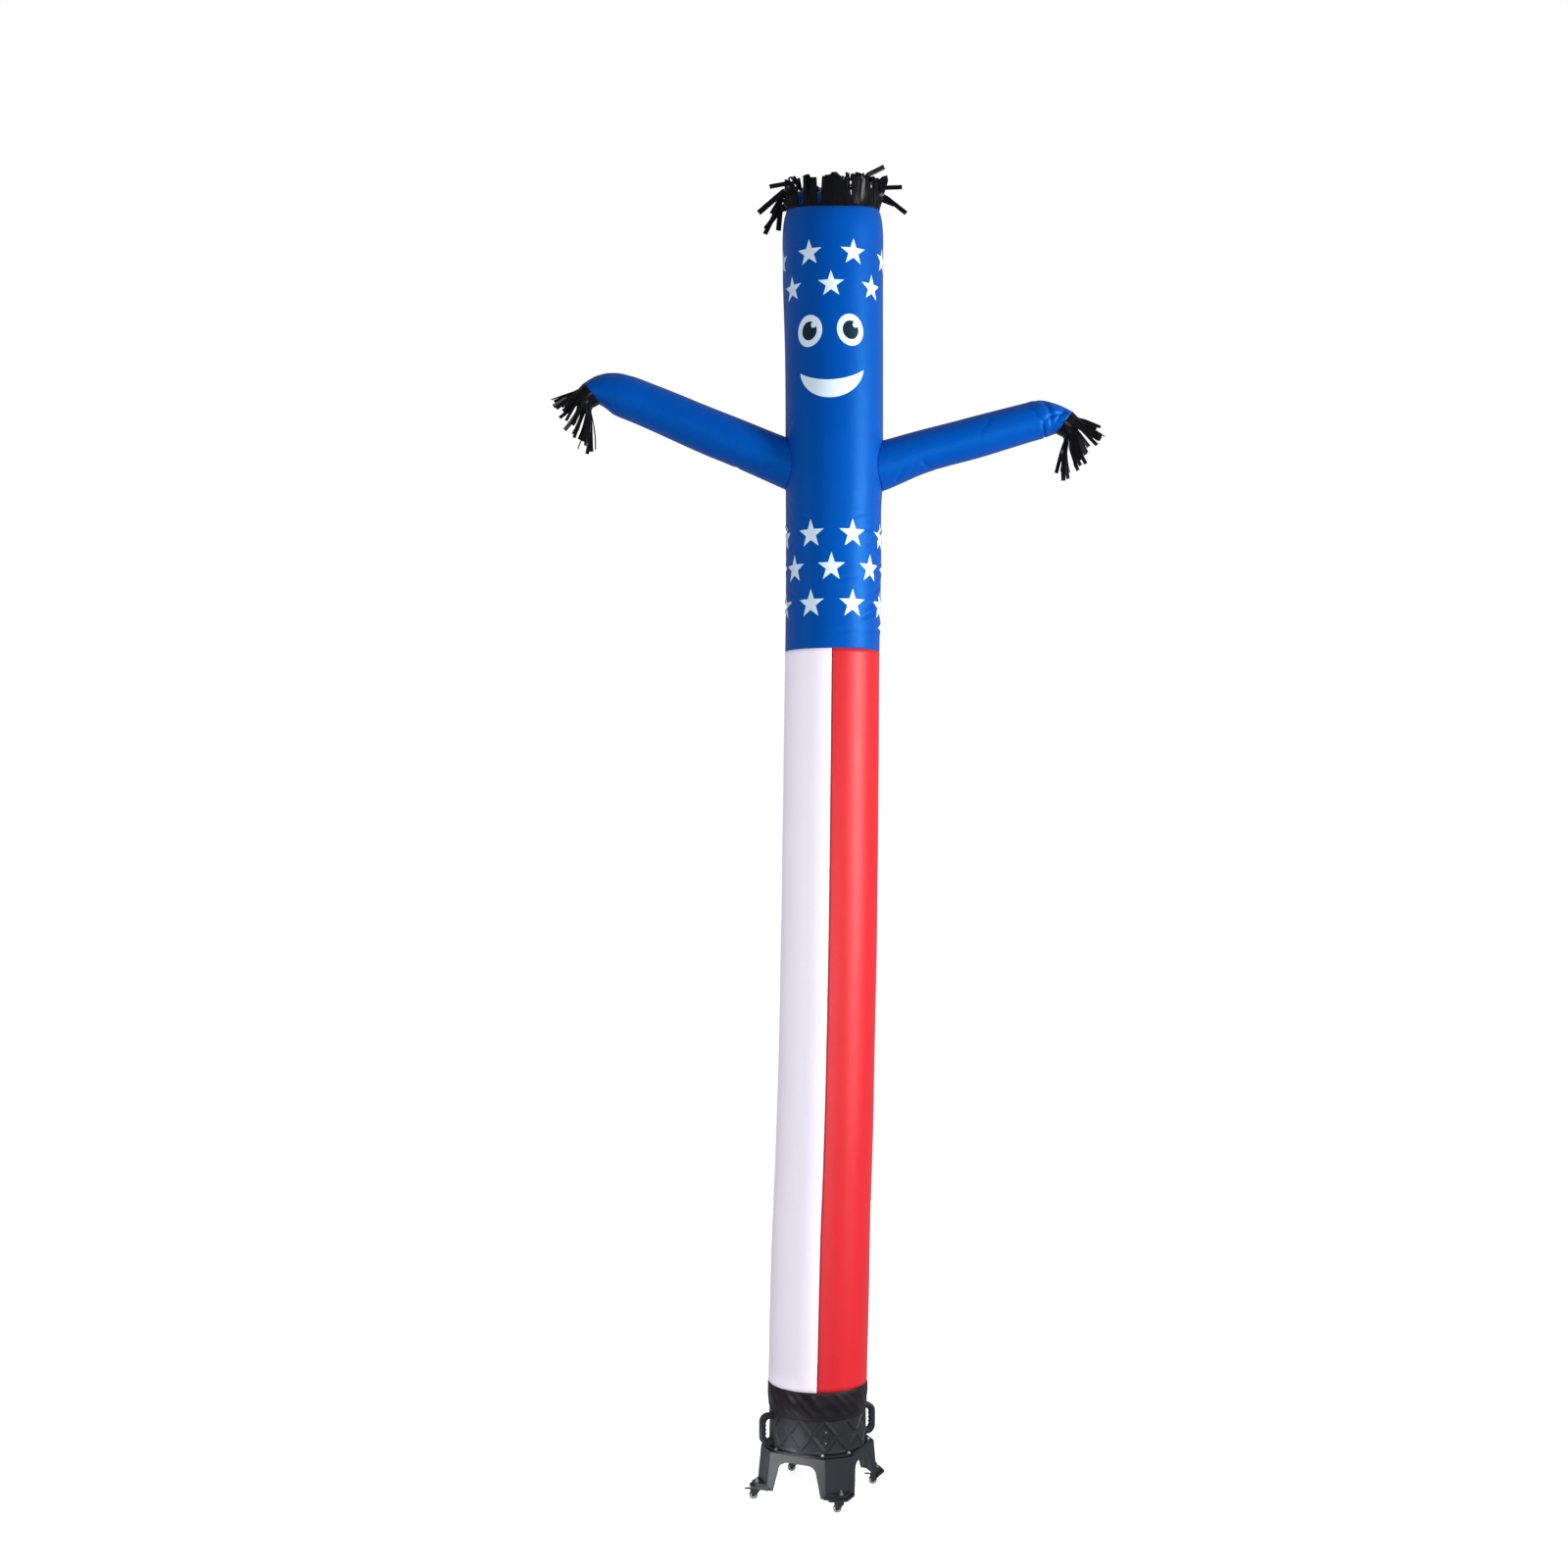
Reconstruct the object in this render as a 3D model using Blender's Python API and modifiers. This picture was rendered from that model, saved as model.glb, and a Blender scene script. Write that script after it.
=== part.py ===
"""Inflatable air dancer standing on its wheeled blower.

Metres, +Z up, the printed face towards -Y. The origin is on the floor below the middle of
the whole reach, from fringe tip to fringe tip. A turn is measured round the blower's axis
in degrees: 0 faces -Y and 90 faces +X.
"""

import math
import random

import bmesh
import bpy
from mathutils import Vector

# Driving dimensions
GAP = 0.0003  # between pieces that meet
CLOTH = 0.0012  # coated nylon with its hems
BLOWER_X = -0.052  # the blower's axis, from the middle of the whole reach
TUBE_SIDES = 24
SEAM_TURN = -2.0  # front seam between the white panel and the red one
PANEL_BOTTOM = 0.526
PANEL_TOP = 3.935
RIM_HEIGHT = 5.962  # top edge of the tube at the front
RIM_SIDE_RISE = 0.035  # how much higher that edge is at the sides
RIM_RADIUS = 0.2135
SHOULDER_HEIGHT = 5.86
PANEL_ROWS = 8

# Standing tube: height, centre to the right of the blower's axis, radius
TUBE_SECTIONS = (
    (0.526, 0.0000, 0.2315),
    (0.970, 0.0100, 0.2320),
    (1.250, 0.0170, 0.2300),
    (1.530, 0.0280, 0.2277),
    (1.940, 0.0400, 0.2255),
    (2.630, 0.0540, 0.2250),
    (3.280, 0.0620, 0.2240),
    (3.870, 0.0680, 0.2215),
    (4.350, 0.0745, 0.2230),
    (4.600, 0.0745, 0.2240),
    (4.730, 0.0775, 0.2277),
    (5.320, 0.0770, 0.2300),
    (5.660, 0.0720, 0.2346),
    (5.860, 0.0715, 0.2365),
)

# Waist creases: height, turn of the deepest point, half span in degrees, depth, half height
WAIST_CREASES = (
    (4.476, -88.0, 42.0, 0.0080, 0.022),
    (4.476, 86.0, 46.0, 0.0090, 0.024),
    (4.310, -100.0, 34.0, 0.0045, 0.026),
    (4.300, 96.0, 40.0, 0.0060, 0.024),
    (4.145, -84.0, 46.0, 0.0080, 0.022),
    (4.060, 88.0, 44.0, 0.0100, 0.022),
    (4.160, 140.0, 30.0, 0.0050, 0.024),
    (4.400, 178.0, 40.0, 0.0060, 0.026),
)
UPPER_ROWS = (3.9353, 4.02, 4.06, 4.10, 4.145, 4.19, 4.30, 4.43, 4.476, 4.52)
UPPER_ROWS += (4.62, 4.78, 4.9, 5.02, 5.15, 5.45, 5.72)
SHOULDER_STEPS = 3

# Head cap: share of the rim's radius, shift of the ring to the right, rise above the rim
CAP_SECTIONS = (
    (1.00, 0.000, -0.010),
    (1.00, 0.000, 0.004),
    (0.86, -0.008, 0.042),
    (0.62, -0.026, 0.088),
    (0.38, -0.042, 0.118),
)
CAP_SAG = 0.38  # how much lower each ring of the cap is on the right, as a share of its rise

# Arms: way along, reach from the blower's axis, height, heading above the horizontal in
# degrees, half height and half depth of the section
LEFT_ARM = (
    (0.00, 0.045, 4.778, 23.0, 0.1160, 0.1160),
    (0.11, 0.146, 4.821, 23.0, 0.1130, 0.1130),
    (0.38, 0.392, 4.924, 22.5, 0.1085, 0.1085),
    (0.53, 0.532, 4.981, 22.5, 0.1070, 0.1070),
    (0.82, 0.802, 5.096, 22.0, 0.1015, 0.1015),
    (0.95, 0.926, 5.143, 14.0, 0.0980, 0.1000),
    (1.02, 0.998, 5.157, -8.0, 0.0830, 0.0900),
    (1.09, 1.062, 5.148, -38.0, 0.0590, 0.0780),
)
RIGHT_ARM = (
    (0.00, 0.200, 4.783, 17.0, 0.1180, 0.1180),
    (0.10, 0.302, 4.811, 16.0, 0.1130, 0.1130),
    (0.29, 0.486, 4.875, 15.0, 0.0995, 0.0995),
    (0.57, 0.759, 4.949, 15.5, 0.0965, 0.0965),
    (0.81, 0.992, 5.015, 15.0, 0.0905, 0.0925),
    (0.87, 1.043, 5.027, 6.0, 0.0900, 0.0930),
    (0.93, 1.100, 5.022, -16.0, 0.0780, 0.0860),
    (0.99, 1.158, 5.013, -37.0, 0.0615, 0.0780),
)
ARM_SIDES = 16
ARM_ROWS = 11
ARMHOLE_INSET = 0.004  # the armhole is this much smaller than the arm, so the arm's seam lands on cloth
ARMHOLE_REACH = 0.24  # how far along the arm the armhole's cutter goes

# Fringe of cut strips
STRIP = 0.0012
HEAD_STRIPS = 42
HAND_STRIPS = 16
HEAD_BAND = 0.012
HAND_BAND = 0.035
HEAD_STRIP_RISE = (0.112, 0.142)  # from the band to where a strip folds over
HEAD_TIP_INWARD = (0.035, 0.060)
HEAD_TIP_OUTWARD = (0.070, 0.135)
SIDE_STRIPS_FROM = 0.80  # sideways share of its turn from which a strip folds outwards
HAND_STRIP_LENGTH = (0.175, 0.215)
TOP_STRIP_SHARE = 0.62  # length of a strip at the top of the hand, as a share
STRIP_STEPS = 3

# Collar: height, outer radius, swell of the gathers
COLLAR_SECTIONS = (
    (0.3950, 0.2272, 0.0),
    (0.4300, 0.2272, 0.0004),
    (0.4560, 0.2294, 0.0010),
    (0.4720, 0.2314, 0.0008),
    (0.5000, 0.2314, 0.0012),
    (0.5257, 0.2315, 0.0006),
)
COLLAR_SIDES = 40
COLLAR_GATHERS = 10

# Blower
LEG_TURN = 20.0  # of the front leg, with the others at right angles
TURNED_SIDES = 32
DECK_TOP = 0.230
FOOT_BOTTOM = 0.055
DRUM_RADIUS = 0.221
DRUM_BORE = 0.2145
LIP_BOTTOM = 0.402
NECK_BOTTOM = 0.415
NECK_TOP = 0.475
NECK_RADIUS = 0.2205
HOOK_RADIUS = 0.2250
RIM_TOP = 0.500
BLOWER_RIM_RADIUS = 0.227
FLANGE_REACH = 0.247
FLANGE_THICKNESS = 0.009
STAND_TOP_HALF = 0.228
STAND_BOTTOM_HALF = 0.240
CHAMFER_WIDTH = 0.127  # of the flat across each corner of the stand
STAND_WALL = 0.005
INTAKE_RADIUS = 0.196
ARCH_TOP = 0.192
ARCH_HALF_TOP = 0.098
ARCH_HALF_BOTTOM = 0.125
ARCH_CORNER = 0.045
PAD_STEPS = ((0.055, 0.067, 0.0), (0.067, 0.079, 0.012))  # bottom, top, inset of each step
PAD_TIP_CUT = 0.020
CASTER_RADIUS = 0.300
BOLT_CIRCLE = 0.2375
BOLT_SPREAD = 16.0
HANDLE_TURNS = {"right": 110.0, "left": 290.0}
HANDLE_BOTTOM = 0.2435
HANDLE_TOP = 0.3915
HANDLE_REACH = 0.288
HANDLE_THICKNESS = 0.028
HANDLE_BAR = 0.026
TETHER_TURN = 8.75

# Caster, with its stem at x = 0, trailing towards -X
WHEEL_RADIUS = 0.019
WHEEL_WIDTH = 0.016
WHEEL_SIDES = 24
TRAIL = 0.018
AXLE_RADIUS = 0.0030
CHEEK = 0.0030
SLOT_HALF = 0.0095
PEDAL_PIVOT = (-0.0265, 0.0405)
STEM_RADIUS = 0.0040

COLORS = {
    "blue nylon": (0.01, 0.10, 0.45, 1.0),
    "white nylon": (0.88, 0.87, 0.93, 1.0),
    "red nylon": (0.85, 0.02, 0.04, 1.0),
    "black nylon": (0.02, 0.02, 0.03, 1.0),
    "black fringe": (0.01, 0.01, 0.012, 1.0),
    "charcoal plastic": (0.035, 0.036, 0.04, 1.0),
    "hook band": (0.015, 0.015, 0.018, 1.0),
    "black wire": (0.02, 0.02, 0.02, 1.0),
    "zinc steel": (0.75, 0.75, 0.75, 1.0),
    "wheel rubber": (0.02, 0.02, 0.02, 1.0),
}
ROUGHNESS = {"blue nylon": 0.4, "white nylon": 0.5, "red nylon": 0.45, "black fringe": 0.25}
METALLIC = {"zinc steel": 1.0, "black wire": 0.4}


# Scene helpers


def collection(name):
    made = bpy.data.collections.new(name)
    bpy.context.scene.collection.children.link(made)
    return made


def material(name):
    made = bpy.data.materials.new(name)
    made.use_nodes = True
    shader = made.node_tree.nodes["Principled BSDF"]
    shader.inputs["Base Color"].default_value = COLORS[name]
    shader.inputs["Roughness"].default_value = ROUGHNESS.get(name, 0.6)
    shader.inputs["Metallic"].default_value = METALLIC.get(name, 0.0)
    return made


def empty(name, location, parent=None):
    made = bpy.data.objects.new(name, None)
    PARTS.objects.link(made)
    made.parent = parent
    made.location = location
    return made


def add(name, bm, look, parent, location=(0, 0, 0), turn=0.0, smooth=True):
    """The mesh as a named object. A turn carries what faces -Y round to that turn."""
    mesh = bpy.data.meshes.new(name)
    bm.to_mesh(mesh)
    bm.free()
    made = bpy.data.objects.new(name, mesh)
    PARTS.objects.link(made)
    if look:
        mesh.materials.append(MATERIALS[look])
    if smooth:
        mesh.shade_smooth()
        mesh.set_sharp_from_angle(angle=math.radians(35))
    made.parent = parent
    made.location = location
    made.rotation_euler.z = math.radians(turn)
    return made


def cutter(name, bm, parent, location=(0, 0, 0), turn=0.0):
    made = add(name, bm, None, parent, location, turn, smooth=False)
    PARTS.objects.unlink(made)
    CUTTERS.objects.link(made)
    made.hide_render = True
    made.display_type = "WIRE"
    return made


def boolean(target, other, operation="DIFFERENCE"):
    modifier = target.modifiers.new(other.name, "BOOLEAN")
    modifier.operation = operation
    modifier.object = other


def thicken(target, thickness):
    """Wall grown inwards from an outer surface."""
    modifier = target.modifiers.new("Wall", "SOLIDIFY")
    modifier.thickness = thickness
    modifier.offset = -1
    modifier.use_even_offset = True


# Shapes


def loft(rings, closed=True, caps=False):
    """A surface through rings of points, which run anticlockwise seen from the last ring's side."""
    bm = bmesh.new()
    rows = [[bm.verts.new(point) for point in ring] for ring in rings]
    for lower, upper in zip(rows, rows[1:]):
        count = len(lower)
        for k in range(count if closed else count - 1):
            j = (k + 1) % count
            bm.faces.new((lower[k], lower[j], upper[j], upper[k]))
    if caps:
        bm.faces.new(rows[0][::-1])
        bm.faces.new(rows[-1])
    return bm


def prism(levels):
    """A solid through flat outlines: pairs of an anticlockwise outline in X and Y, and its height."""
    return loft([[(x, y, z) for x, y in outline] for outline, z in levels], caps=True)


def box(low, high):
    outline = [(low[0], low[1]), (high[0], low[1]), (high[0], high[1]), (low[0], high[1])]
    return prism([(outline, low[2]), (outline, high[2])])


def cylinder(radius, bottom, top, sides=TURNED_SIDES):
    outline = [
        (radius * math.cos(math.tau * k / sides), radius * math.sin(math.tau * k / sides))
        for k in range(sides)
    ]
    return prism([(outline, bottom), (outline, top)])


def turned(name, profile, look, parent, location=(0, 0, 0), sides=TURNED_SIDES, closed=True):
    """A profile of radius and height, down its outer side, spun round the vertical."""
    bm = bmesh.new()
    points = [bm.verts.new((radius, 0, height)) for radius, height in profile]
    for first, second in zip(points, points[1:]):
        bm.edges.new((first, second))
    if closed:
        bm.edges.new((points[-1], points[0]))
    made = add(name, bm, look, parent, location, FACET_TURN if sides == TURNED_SIDES else 0.0, False)
    screw = made.modifiers.new("Turn", "SCREW")
    screw.steps = screw.render_steps = sides
    screw.use_merge_vertices = True
    screw.merge_threshold = 0.0001
    screw.use_smooth_shade = True
    return made


def lay_down(bm):
    """Turns what was built along +Z to run along -Y, its X kept."""
    for vert in bm.verts:
        vert.co = Vector((vert.co.x, -vert.co.z, vert.co.y))
    return bm


def smooth(rows, at):
    """The rows' other columns at a value of the first one, on a smooth curve through them."""
    at = min(max(at, rows[0][0]), rows[-1][0])
    k = max(i for i in range(len(rows) - 1) if rows[i][0] <= at)
    before, start, end, after = rows[max(k - 1, 0)], rows[k], rows[k + 1], rows[min(k + 2, len(rows) - 1)]
    span = end[0] - start[0]
    t = (at - start[0]) / span
    values = []
    for c in range(1, len(start)):
        leave = (end[c] - before[c]) / (end[0] - before[0]) * span
        arrive = (after[c] - start[c]) / (after[0] - start[0]) * span
        values.append(
            (2 * t**3 - 3 * t**2 + 1) * start[c]
            + (t**3 - 2 * t**2 + t) * leave
            + (3 * t**2 - 2 * t**3) * end[c]
            + (t**3 - t**2) * arrive
        )
    return values


def round_axis(turn, radius, height, shift=0.0):
    """The point at a turn and a radius round an axis shifted to the right."""
    angle = math.radians(turn)
    return Vector((shift + radius * math.sin(angle), -radius * math.cos(angle), height))


def turns_round(sides, start):
    return [start + 360 * k / sides for k in range(sides)]


# Cloth


def crease(turn, height):
    """How far the waist's creases draw the cloth in there."""
    depth = 0.0
    for level, middle, span, deep, half_height in WAIST_CREASES:
        aside = (turn - middle + 180) % 360 - 180
        depth += deep * math.exp(-((aside / span) ** 2) * 2 - ((height - level) / half_height) ** 2)
    return depth


def tube_point(turn, height, grow=0.0):
    centre, radius = smooth(TUBE_SECTIONS, height)
    return round_axis(turn, radius - crease(turn, height) + grow, height, centre)


def rim_height(turn):
    return RIM_HEIGHT + RIM_SIDE_RISE * math.sin(math.radians(turn)) ** 2


def shoulder_point(turn, share):
    """On the rounded shoulder, from the top section at share 0 to the seam of the rim at 1."""
    centre, radius = smooth(TUBE_SECTIONS, SHOULDER_HEIGHT)
    quarter = share * math.pi / 2
    across = RIM_RADIUS + (radius - RIM_RADIUS) * math.cos(quarter)
    height = SHOULDER_HEIGHT + (rim_height(turn) - SHOULDER_HEIGHT) * math.sin(quarter)
    return round_axis(turn, across, height, centre)


def upper_tube(parent):
    turns = turns_round(TUBE_SIDES, SEAM_TURN)
    rings = [[tube_point(turn, height) for turn in turns] for height in UPPER_ROWS]
    for step in range(SHOULDER_STEPS + 1):
        rings.append([shoulder_point(turn, step / SHOULDER_STEPS) for turn in turns])
    made = add("upper_tube", loft(rings), "blue nylon", parent)
    thicken(made, CLOTH)
    return made


def panel(name, first_turn, look, parent):
    """Half the lower tube, from one long seam to the other."""
    # The wall grows square to its last facet, which leans that much towards the other panel.
    half_gap = math.degrees((GAP / 2 + CLOTH * math.sin(math.pi / TUBE_SIDES)) / TUBE_SECTIONS[0][2])
    sides = TUBE_SIDES // 2
    turns = [first_turn + half_gap + (180 - 2 * half_gap) * k / sides for k in range(sides + 1)]
    rings = []
    for row in range(PANEL_ROWS + 1):
        height = PANEL_BOTTOM + (PANEL_TOP - PANEL_BOTTOM) * row / PANEL_ROWS
        rings.append([tube_point(turn, height) for turn in turns])
    thicken(add(name, loft(rings, closed=False), look, parent), CLOTH)


def collar(parent):
    turns = turns_round(COLLAR_SIDES, SEAM_TURN)
    rings = []
    for height, radius, swell in COLLAR_SECTIONS:
        ring = []
        for turn in turns:
            wave = math.cos(math.radians(COLLAR_GATHERS * turn + 2200 * height))
            ring.append(round_axis(turn, radius + swell * (1 + wave), height))
        rings.append(ring)
    thicken(add("collar", loft(rings), "black nylon", parent), CLOTH)


def head_cap(parent):
    """Lopsided cap inside the rim, open at its top where the air leaves."""
    base = RIM_RADIUS - CLOTH - GAP
    centre = smooth(TUBE_SECTIONS, SHOULDER_HEIGHT)[0]
    rings = []
    for share, shift, rise in CAP_SECTIONS:
        ring = []
        for turn in turns_round(TUBE_SIDES, SEAM_TURN):
            level = rise * (1 - (CAP_SAG * math.sin(math.radians(turn)) if rise > 0.01 else 0))
            ring.append(round_axis(turn, base * share, rim_height(turn) + level, centre + shift))
        rings.append(ring)
    thicken(add("head_cap", loft(rings), "blue nylon", parent), CLOTH)


def arm_ring(section, side, shrink=0.0):
    """Points round one section of an arm, which reaches to the right for side 1, left for -1."""
    reach, height, heading, half_high, half_deep = section
    slope = math.radians(heading)
    up = Vector((-side * math.sin(slope), 0, math.cos(slope)))
    points = []
    for k in range(ARM_SIDES):
        angle = math.tau * k / ARM_SIDES
        deep = Vector((0, -side * math.sin(angle) * (half_deep - shrink), 0))
        centre = Vector((side * reach, 0, height))
        points.append(centre + up * math.cos(angle) * (half_high - shrink) + deep)
    return points


def arm(name, table, side, torso, parent):
    length = table[-1][0]
    rings = []
    for row in range(ARM_ROWS + 1):
        share = row / ARM_ROWS
        section = smooth(table, length * (1 - (1 - share) ** 1.35))
        rings.append(arm_ring(section, side))
    made = add(name, loft(rings), "blue nylon", parent)
    thicken(made, CLOTH)
    boolean(made, torso)


def armhole(name, table, side, parent):
    rings = [arm_ring(smooth(table, ARMHOLE_REACH * k / 4), side, ARMHOLE_INSET) for k in range(5)]
    return cutter(name, loft(rings, caps=True), parent)


def torso_cutter(parent):
    """The tube where the arms meet it, solid and one gap larger, on the tube's own rows."""
    turns = turns_round(TUBE_SIDES, SEAM_TURN)
    heights = [height for height in UPPER_ROWS if 4.5 < height < 5.4]
    rings = [[tube_point(turn, height, GAP) for turn in turns] for height in heights]
    return cutter("torso_cutter", loft(rings, caps=True), parent)


# Fringe: a narrow band with a cut strip standing on every other facet of its lip


def fringe(name, band_rings, outward, strip_path, parent):
    """band_rings are the band's root ring and lip ring, with two facets for each strip."""
    bm = bmesh.new()
    count = len(band_rings[0])
    shells = []
    for ring in band_rings:
        inner = [point - outward(k, point) * STRIP for k, point in enumerate(ring)]
        shells.append(([bm.verts.new(p) for p in ring], [bm.verts.new(p) for p in inner]))
    (root_out, root_in), (lip_out, lip_in) = shells
    lips = []
    for k in range(count):
        j = (k + 1) % count
        bm.faces.new((root_out[k], root_out[j], lip_out[j], lip_out[k]))
        bm.faces.new((root_in[j], root_in[k], lip_in[k], lip_in[j]))
        bm.faces.new((root_out[j], root_out[k], root_in[k], root_in[j]))
        lips.append(bm.faces.new((lip_out[k], lip_out[j], lip_in[j], lip_in[k])))
    for k in range(0, count, 2):
        grow_strip(bm, lips[k], strip_path(k))
    return add(name, bm, "black fringe", parent)


def grow_strip(bm, face, path):
    """Extrudes a lip's facet along a path of steps, each section square to its step."""
    corners = [vert.co.copy() for vert in face.verts]
    across = ((corners[1] - corners[0]) + (corners[2] - corners[3])) / 4
    half_wide = across.length
    middle = sum(corners, Vector()) / 4
    for step in path:
        face = bmesh.ops.extrude_discrete_faces(bm, faces=[face])["faces"][0]
        middle = middle + step
        heading = step.normalized()
        across = (across - heading * across.dot(heading)).normalized() * half_wide
        through = across.cross(heading).normalized() * STRIP / 2
        places = (through - across, through + across, across - through, -across - through)
        for vert, place in zip(face.verts, places):
            vert.co = middle + place


def bend(start, end, length):
    """Steps of a strip that leaves along start and ends along end."""
    path = []
    for k in range(STRIP_STEPS):
        share = (k + 0.5) / STRIP_STEPS
        path.append((start * (1 - share) + end * share).normalized() * length / STRIP_STEPS)
    return path


def head_fringe(parent):
    centre = smooth(TUBE_SECTIONS, SHOULDER_HEIGHT)[0]
    turns = turns_round(HEAD_STRIPS * 2, SEAM_TURN)
    rings = []
    for rise in (GAP, HEAD_BAND):
        ring = []
        for turn in turns:
            ring.append(round_axis(turn, RIM_RADIUS + 0.0022, rim_height(turn) + rise, centre))
        rings.append(ring)
    chance = random.Random(20)

    def outward(k, point):
        return round_axis(turns[k], 1, 0)

    def path(k):
        turn = turns[k] + 180 / HEAD_STRIPS / 2
        out = round_axis(turn, 1, 0)
        up = Vector((0, 0, 1))
        side = abs(math.sin(math.radians(turn)))
        flop = side**3
        rise = chance.uniform(*HEAD_STRIP_RISE) * (1 - 0.45 * flop)
        lean = math.radians(2 + 34 * flop + chance.uniform(0, 6))
        start = up * math.cos(lean) + out * math.sin(lean)
        if side > SIDE_STRIPS_FROM:
            fall = math.radians(chance.uniform(70, 150))
            tip = (up * math.cos(fall) + out * math.sin(fall)) * chance.uniform(*HEAD_TIP_OUTWARD)
        else:
            fall = math.radians(chance.uniform(92, 112))
            tip = (up * math.cos(fall) - out * math.sin(fall)) * chance.uniform(*HEAD_TIP_INWARD)
        return [start * rise / 2, start * rise / 2, tip]

    return fringe("head_fringe", rings, outward, path, parent)


def hand_fringe(name, table, side, parent):
    reach, height, heading, half_high, half_deep = table[-1][1:]
    slope = math.radians(heading)
    along = Vector((side * math.cos(slope), 0, math.sin(slope)))
    up = Vector((-side * math.sin(slope), 0, math.cos(slope)))
    centre = Vector((side * reach, 0, height))
    angles = [math.tau * k / (HAND_STRIPS * 2) for k in range(HAND_STRIPS * 2)]

    def outward(k, point):
        return (up * math.cos(angles[k]) - Vector((0, side * math.sin(angles[k]), 0))).normalized()

    rings = []
    for way, grow in ((GAP * 2, 0.0), (HAND_BAND, -0.006)):
        ring = []
        for angle in angles:
            deep = Vector((0, -side * math.sin(angle) * (half_deep + grow), 0))
            ring.append(centre + along * way + up * math.cos(angle) * (half_high + grow) + deep)
        rings.append(ring)
    chance = random.Random(7 + side)

    def path(k):
        angle = angles[k] + math.pi / HAND_STRIPS / 2
        top = (1 + math.cos(angle)) / 2
        fall = math.radians(88 - 58 * top**1.6 + chance.uniform(-6, 4))
        aside = -side * math.sin(angle) * 0.22
        start = along * 0.97 + Vector((0, aside * 0.5, 0))
        end = Vector((side * math.cos(fall), aside, -math.sin(fall)))
        length = chance.uniform(*HAND_STRIP_LENGTH) * (1 - (1 - TOP_STRIP_SHARE) * top)
        return bend(start.normalized(), end.normalized(), length)

    return fringe(name, rings, outward, path, parent)


# Blower


def stand_outline(half, inset=0.0):
    """Square with its corners cut flat, one corner facing -Y, anticlockwise."""
    corner = half * math.sqrt(2) - CHAMFER_WIDTH / 2
    flat = CHAMFER_WIDTH / 2 - inset * math.tan(math.radians(22.5))
    points = []
    for k in range(4):
        out = round_axis(90 * k, 1, 0)
        aside = round_axis(90 * k + 90, 1, 0)
        for way in (-1, 1):
            point = out * (corner - inset) + aside * flat * way
            points.append((point.x, point.y))
    return points


def pad_outline(inset):
    """Corner of the foot in front of its leg's flat, tip cut off, facing -Y."""
    corner = STAND_BOTTOM_HALF * math.sqrt(2)
    back = corner - CHAMFER_WIDTH / 2 - STAND_WALL / 2
    tip = corner + 0.012 - PAD_TIP_CUT - inset
    wide = corner + 0.012 - back - inset * 1.4
    narrow = PAD_TIP_CUT
    return [(-wide, -back), (-narrow, -tip), (narrow, -tip), (wide, -back)]


def arch():
    """Cutter of one pair of arches, which runs along Y: round top corners, legs that flare."""
    steps = 4
    half = []
    for k in range(steps + 1):
        angle = math.pi / 2 * k / steps
        x = ARCH_HALF_TOP - ARCH_CORNER + ARCH_CORNER * math.cos(angle)
        half.append((x, ARCH_TOP - ARCH_CORNER + ARCH_CORNER * math.sin(angle)))
    below = FOOT_BOTTOM - 0.02
    outline = [(-ARCH_HALF_BOTTOM, below), (ARCH_HALF_BOTTOM, below)]
    outline += half + [(-x, z) for x, z in reversed(half)]
    return loft([[(x, y, z) for x, z in outline] for y in (0.4, -0.4)], caps=True)


def stand(parent):
    """Moulded four-legged stand: deck with its intake hole, arches between the legs, stepped feet."""
    made = add(
        "stand",
        prism([(stand_outline(STAND_BOTTOM_HALF), FOOT_BOTTOM), (stand_outline(STAND_TOP_HALF), DECK_TOP)]),
        "charcoal plastic",
        parent,
        turn=LEG_TURN,
        smooth=False,
    )
    for leg in range(4):
        for bottom, top, inset in PAD_STEPS:
            outline = pad_outline(inset)
            pad = prism([(outline, bottom), (outline, top)])
            turn = LEG_TURN + 90 * leg
            boolean(made, cutter(f"pad_{leg}_{int(bottom * 1000)}", pad, parent, turn=turn), "UNION")
    hollow = prism(
        [
            (stand_outline(STAND_BOTTOM_HALF + 0.001, STAND_WALL), FOOT_BOTTOM - 0.015),
            (stand_outline(STAND_TOP_HALF, STAND_WALL), DECK_TOP - STAND_WALL),
        ]
    )
    boolean(made, cutter("hollow", hollow, parent, turn=LEG_TURN))
    boolean(made, cutter("intake", cylinder(INTAKE_RADIUS, 0.2, 0.26), parent, turn=FACET_TURN))
    for k in range(2):
        boolean(made, cutter(f"arches_{k}", arch(), parent, turn=LEG_TURN + 45 + 90 * k))
    for leg in range(4):
        place = round_axis(LEG_TURN + 90 * leg, CASTER_RADIUS, 0)
        hole = cylinder(STEM_RADIUS + GAP, 0.03, 0.1, sides=12)
        boolean(made, cutter(f"stem_hole_{leg}", hole, parent, place))


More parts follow.
